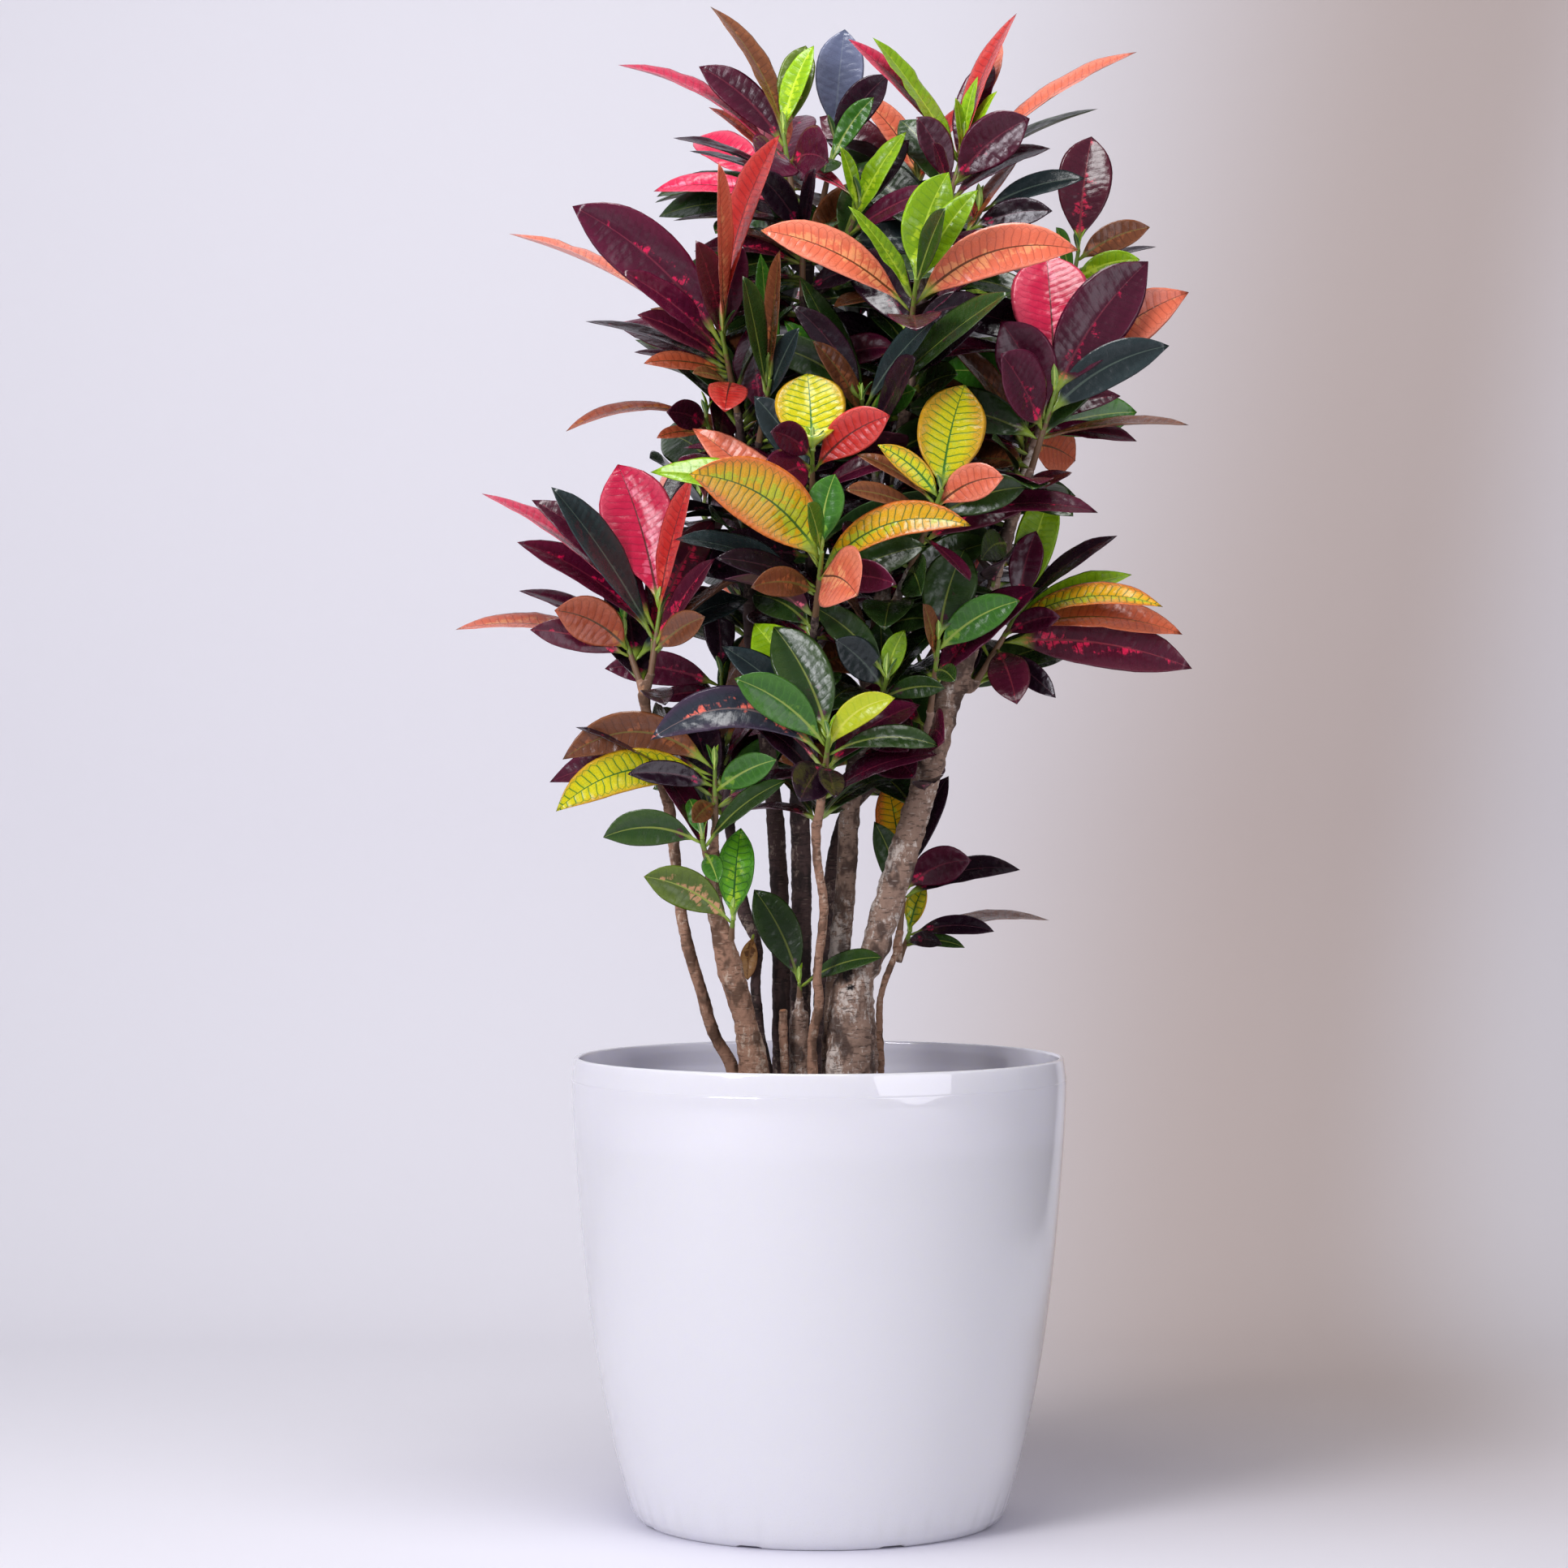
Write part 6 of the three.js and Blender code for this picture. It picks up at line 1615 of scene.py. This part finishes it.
def leaf_point(leaf):
    """All that the tree and the material need to know about one leaf."""
    order, seed = leaf["order"], leaf["seed"]
    *tints, vein_amount, blotch_amount = LEAF_COLOURS[leaf["kind"]]
    bright = between(LEAF_BRIGHTNESS, draw(order + 40, seed))
    middle = leaf["root"].lerp(leaf["tip"], 0.5) + leaf["upper"] * 2 * leaf["arch"]
    wave = WAVES.get(leaf["kind"], USUAL_WAVE) * between((0.6, 1.6), draw(order, seed + 60))
    point = {
        "at": leaf["root"], "leaf": True, "root": leaf["root"] * MM, "middle": middle * MM,
        "tip": leaf["tip"] * MM, "facing": leaf["normal"], "width": leaf["width"] * MM,
        "wave": wave, "phase": 10 * draw(order + 7, seed), "thick": 0.0,
        "belly": between(BELLIES.get(leaf["kind"], USUAL_BELLY), draw(seed, order + 21)),
        "marks": (vein_amount, blotch_amount * between((0.4, 1.6), draw(order, seed + 5)),
                  between((0.1, 0.6), draw(order + 3, seed))),
    }
    for name, tint in zip(TINTS, tints):
        point[name] = shade(tint, bright)
    return point


LOOK_DATA = {"age": "FLOAT", "marks": "FLOAT_VECTOR", **dict.fromkeys(TINTS, "FLOAT_COLOR")}
FIELDS = {"FLOAT": "value", "BOOLEAN": "value", "FLOAT_VECTOR": "vector", "FLOAT_COLOR": "color"}
EMPTY = {"FLOAT": 0.0, "BOOLEAN": False, "FLOAT_VECTOR": (0, 0, 0), "FLOAT_COLOR": (0, 0, 0, 1)}


def point_mesh(name, rows, chains, data):
    """A mesh of bare points that carry attributes, joined by edges along each chain."""
    mesh = bpy.data.meshes.new(name)
    edges = [(k, k + 1) for first, count in chains for k in range(first, first + count - 1)]
    mesh.from_pydata([row["at"] * MM for row in rows], edges, [])
    for title, kind in data.items():
        values = [row.get(title, EMPTY[kind]) for row in rows]
        attribute = mesh.attributes.new(title, kind, "POINT")
        number = bool if kind == "BOOLEAN" else np.float32
        attribute.data.foreach_set(FIELDS[kind], np.array(values, number).ravel())
    return mesh


foliage = []
for seed, (name, plan) in enumerate(plans.items()):
    leaves = shoot_leaves[name]
    stem = [{**row, "thick": row["thick"] * MM} for row in stem_points(plan, leaves)]
    grown = [*leaves, *inner_leaves[name], *spear_leaves(plan, seed + 1)]
    rows = stem + [leaf_point(leaf) for leaf in grown]
    mesh = point_mesh(name, rows, [(0, len(stem))], {**POINT_DATA, **LOOK_DATA})
    piece = grow("foliage_" + name, mesh, shoot_tree, **SHOOT_SIZES)
    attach(piece, "root")
    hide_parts("shoot_" + name)
    foliage.append(piece)
print(len(foliage), "shoots,", sum(len(piece.data.polygons) for piece in foliage), "faces")

# %% [markdown]
# ## Building the canes
# Wood that grew has no seams, so a cane and its twigs are one skin. Geometry Nodes sweep
# a round section along each of their lines, a voxel remesh fuses them with a soft collar
# at each fork, and a second tree raises the bark.

# %% Cane points: the line, its twigs, and the thickness along them
RING_SPACING = 9.5                    # mm between the scars of fallen leaves
RING_RISE = 0.055
RING_REACH = 1.6
POINT_GAP = 2.2                       # mm between the points of a line


def evenly(line, gap):
    """Points an even distance apart along a line, each with its distance along it."""
    runs = runs_of(line)
    stops = np.linspace(0, runs[-1], max(2, round(runs[-1] / gap)))
    return [(stop, point_at(line, runs, stop)) for stop in stops]


def ringed(radius, run, seed):
    """A radius with the low ring scars that leaves left up the cane."""
    beat = run / RING_SPACING + 0.6 * math.sin(run / 23 + seed)
    away = abs(beat - round(beat)) * RING_SPACING
    return radius * (1 + RING_RISE * math.exp(-((away / RING_REACH) ** 2)))


def cane_points(name, seed):
    """Points with their thickness for a cane and all its twigs, and where each starts."""
    rows, chains = [], []
    stops = evenly(cane_lines[name], POINT_GAP)
    chains.append((0, len(stops)))
    for run, point in stops:
        radius = cane_radius(CANES[name], point.z)
        rows.append({"at": point, "thick": ringed(radius, run, seed) * MM})
    for shoot, height in FORKS.get(name, {}).items():
        line = evenly(twigs[shoot], POINT_GAP)
        chains.append((len(rows), len(line)))
        for run, point in line:
            radius = between(TWIG_RADIUS, run / line[-1][0])
            rows.append({"at": point, "thick": ringed(radius, run, seed + height) * MM})
    return rows, chains

# %% Tree: sweep a round section along every line
tree, given = new_tree("swept_cane", {"Sides": 18, "Section radius": 1.0})
thick = add(tree, "GeometryNodeInputNamedAttribute", {"data_type": "FLOAT"}, {"Name": "thick"})
line = add(tree, "GeometryNodeMeshToCurve", inputs=[given["Geometry"]])
section = add(tree, "GeometryNodeCurvePrimitiveCircle",
              inputs={"Resolution": given["Sides"], "Radius": given["Section radius"]})
bars = add(tree, "GeometryNodeCurveToMesh",
           inputs={"Curve": line, "Profile Curve": section, "Scale": thick, "Fill Caps": True})
real = add(tree, "GeometryNodeRealizeInstances", inputs=[bars])
add(tree, "NodeGroupOutput", inputs=[real])
sweep_tree = tree
print("cane sweep:", len(tree.nodes), "nodes")

# %% [markdown]
# ### Raised bark
# Old bark isn't a smooth tube. Noise of two sizes lifts it into low knobs and fine
# grain along the surface's own normal. The thick cane also has a hollow where a branch
# was lost: the surface is pushed in near one point.

# %% Tree: knobs, grain and the hollow of a lost branch
BARK_SIZES = {
    "Knob height": 0.5 * MM, "Knob size": 9.0 * MM, "Grain height": 0.22 * MM,
    "Grain size": 2.6 * MM, "Hollow place": Vector((0, 0, 0)), "Hollow depth": 0.0,
    "Hollow reach": 12.0 * MM, "Finish": peat,      # each cane puts its own bark here
}
tree, given = new_tree("raised_bark", BARK_SIZES)
position = add(tree, "GeometryNodeInputPosition")
normal = add(tree, "GeometryNodeInputNormal")
lift = None
for form, detail in (("Knob", 1.0), ("Grain", 2.0)):
    scale = add(tree, MATH, OVER, [1.0, given[form + " size"]])
    noise = add(tree, NOISE, inputs={"Vector": position, "Scale": scale, "Detail": detail})
    centred = add(tree, MATH, TIMES_PLUS, [noise, 4.0, -2.0])
    raised = add(tree, MATH, TIMES, [centred, given[form + " height"]])
    lift = raised if lift is None else add(tree, MATH, PLUS, [lift, raised])
away = add(tree, VECTOR_MATH, DISTANCE, [position, given["Hollow place"]]).outputs["Value"]
near = add(tree, RAMP, SMOOTH, {
    "Value": away, "From Min": 0.0, "From Max": given["Hollow reach"],
    "To Min": given["Hollow depth"], "To Max": 0.0})
total = add(tree, MATH, MINUS, [lift, near])
offset = add(tree, VECTOR_MATH, SCALED, {0: normal, "Scale": total})
moved = add(tree, "GeometryNodeSetPosition",
            inputs={"Geometry": given["Geometry"], "Offset": offset})
smooth = add(tree, "GeometryNodeSetShadeSmooth", inputs=[moved])
real = add(tree, "GeometryNodeRealizeInstances", inputs=[smooth])
finished = add(tree, "GeometryNodeSetMaterial", inputs={0: real, "Material": given["Finish"]})
add(tree, "NodeGroupOutput", inputs=[finished])
bark_tree = tree
print("bark relief:", len(tree.nodes), "nodes")

# %% [markdown]
# ### Croton bark
# Croton bark is thin, close and dull. It shows a brown skin with flakes that have dried
# nearly white, which lie together in patches, dark stains where water runs, fine cracks
# round the stem and pale pores. The canes that stand in the shade get a copy of the bark
# with that shade painted in, almost black. The hollow has near-black painted shade inside,
# and a sawn end shows fresh orange wood.

# %% Materials: mottled bark, in three tones, the darkest with painted shade
FLAKE_SIZE = 3.0                      # mm
PATCHES = 24.0                        # mm, from one flaked stretch to the next
STAIN_SIZE = 13.0
CRACK_SIZE = 1.7
PORE_SIZE = 2.6
UPRIGHT = (1, 1, 0.6)                 # flakes and stains are longer up the stem
FLAT = (0.25, 0.25, 1)                # cracks and pores are four times as long round it
HOLLOW_AT = (17, 334, -45)            # across, up and depth, on the main cane's front
HOLLOW_DEPTH = 4.5                    # mm pressed in at its middle
# Painted shade: near-black spots inside the hollow.
HOLLOW_SHADE_SPOTS = [
    (*spot, "#120c0a")
    for spot in ((19, 326, -44, 3.2), (17, 334, -41, 4.6), (15, 342, -44, 3.2))
]
CUT_ENDS = [(-22, 313, -36, 2.6, "#d08f62"), (-108, 508, -66, 3.6, "#b48560")]
SPOT_EDGE = (1.8, 2.3)                # of its reach, where a ragged spot starts to fade
SPOT_RAGGED = 2.4


def bark(title, skin, flake, stain, flake_share, spots=()):
    """Bark of one tone: flake_share says how much of the skin has dried pale, and each
    spot is [across, up, depth, reach, colour] of a place with a colour of its own, such as
    fresh wood or painted shade."""
    material, tree, surface = new_material(title, Roughness=0.85)
    place = add(tree, "ShaderNodeTexCoord").outputs["Object"]
    upright = add(tree, "ShaderNodeMapping", inputs={"Vector": place, "Scale": UPRIGHT})
    flat = add(tree, "ShaderNodeMapping", inputs={"Vector": place, "Scale": FLAT})
    flakes = add(tree, NOISE, inputs={
        "Vector": upright, "Scale": 1 / (FLAKE_SIZE * MM), "Detail": 5.0, "Roughness": 0.7})
    stains = add(tree, NOISE, inputs={
        "Vector": upright, "Scale": 1 / (STAIN_SIZE * MM), "Detail": 3.0, "Roughness": 0.6})
    cracks = add(tree, NOISE, inputs={
        "Vector": flat, "Scale": 1 / (CRACK_SIZE * MM), "Detail": 3.0, "Roughness": 0.7})
    pores = add(tree, "ShaderNodeTexVoronoi",
                inputs={"Vector": flat, "Scale": 1 / (PORE_SIZE * MM)})
    stretches = add(tree, NOISE,
                    inputs={"Vector": upright, "Scale": 1 / (PATCHES * MM), "Detail": 1.0})
    gathered = add(tree, MATH, TIMES_PLUS, [stretches, 0.8, flakes])
    dried = add(tree, RAMP, SMOOTH, {
        "Value": gathered, "From Min": 1.06 - 0.25 * flake_share,
        "From Max": 1.18 - 0.2 * flake_share})
    stained = add(tree, RAMP, SMOOTH,
                  {"Value": stains, "From Min": 0.5, "From Max": 0.62, "To Max": 0.85})
    cracked = add(tree, RAMP, inputs={
        "Value": cracks, "From Min": 0.36, "From Max": 0.46, "To Min": 0.75, "To Max": 0.0})
    pored = add(tree, RAMP, inputs={
        "Value": pores, "From Min": 0.1, "From Max": 0.22, "To Min": 0.36, "To Max": 0.0})
    colour = srgb(skin)
    for mask, over in ((dried, flake), (stained, stain), (cracked, stain), (pored, flake)):
        colour = add(tree, MIX, COLOURS, {0: mask, 6: colour, 7: srgb(over)}).outputs[2]
    # A spot's colour is fresh wood at a sawn end, or painted shade in the hollow.
    for across, up, depth, reach, tone in spots:
        gap = add(tree, VECTOR_MATH, DISTANCE,
                  [place, seen(across, up, depth) * MM]).outputs["Value"]
        ragged = add(tree, MATH, TIMES_PLUS, [flakes, reach * MM * SPOT_RAGGED, gap])
        inside = add(tree, RAMP, SMOOTH, {
            "Value": ragged, "From Min": SPOT_EDGE[0] * reach * MM,
            "From Max": SPOT_EDGE[1] * reach * MM, "To Min": 1.0, "To Max": 0.0})
        colour = add(tree, MIX, COLOURS, {0: inside, 6: colour, 7: srgb(tone)}).outputs[2]
    height = add(tree, MATH, TIMES_PLUS, [cracks, 0.7, flakes])
    relief = add(tree, "ShaderNodeBump",
                 inputs={"Strength": 0.9, "Distance": 0.9 * MM, "Height": height})
    feed(tree, surface, {"Base Color": colour, "Normal": relief})
    return material


BARKS = {
    "brown": bark("croton_bark_brown", "#a07a62", "#c8b09a", "#59402f", 0.35, CUT_ENDS),
    "grey": bark("croton_bark_mottled", "#967b69", "#d2c5b8", "#46342b", 0.55, HOLLOW_SHADE_SPOTS),
    # Bark with painted shade: a darker copy for the canes deep in the crown's shade.
    "dark": bark("croton_bark_painted_shade", "#4c3834", "#8c7a6c", "#221714", 0.3),
}
# Canes not listed here stand in the shade and take the bark with painted shade.
CANE_BARK = {
    "main": "grey", "left_stout": "brown", "left_slender": "brown", "front_slender": "brown",
    "cut_stub": "brown", "short_stub": "grey", "right_thin": "brown", "middle": "grey",
}
print("barks:", ", ".join(BARKS))

# %% Make the canes
VOXEL = 1.0                           # mm
SMOOTH_ROUNDS = 5
KNOBS = {"main": 1.0, "left_stout": 0.7, "middle": 0.6, "short_stub": 0.7}
USUAL_KNOB = 0.35


def fused(piece):
    """Joins a piece's crossing bars into one skin with soft collars."""
    remesh = piece.modifiers.new("fuse", "REMESH")
    remesh.mode = "VOXEL"
    remesh.voxel_size = VOXEL * MM
    soften = piece.modifiers.new("soften", "SMOOTH")
    soften.iterations = SMOOTH_ROUNDS
    mesh = plain_mesh(piece)
    bpy.data.objects.remove(piece)
    return mesh


canes = []
for seed, name in enumerate(CANES):
    rows, chains = cane_points(name, seed)
    bars = grow("bars_" + name, point_mesh(name, rows, chains, {"thick": "FLOAT"}), sweep_tree)
    sizes = {**BARK_SIZES, "Finish": BARKS[CANE_BARK.get(name, "dark")],
             "Knob height": KNOBS.get(name, USUAL_KNOB) * MM}
    if name == "main":
        sizes["Hollow place"] = seen(*HOLLOW_AT) * MM
        sizes["Hollow depth"] = HOLLOW_DEPTH * MM
    piece = grow("bark_" + name, fused(bars), bark_tree, **sizes)
    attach(piece, "root")
    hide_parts("cane_" + name)
    canes.append(piece)
print(len(canes), "canes,", sum(len(piece.data.polygons) for piece in canes), "faces")
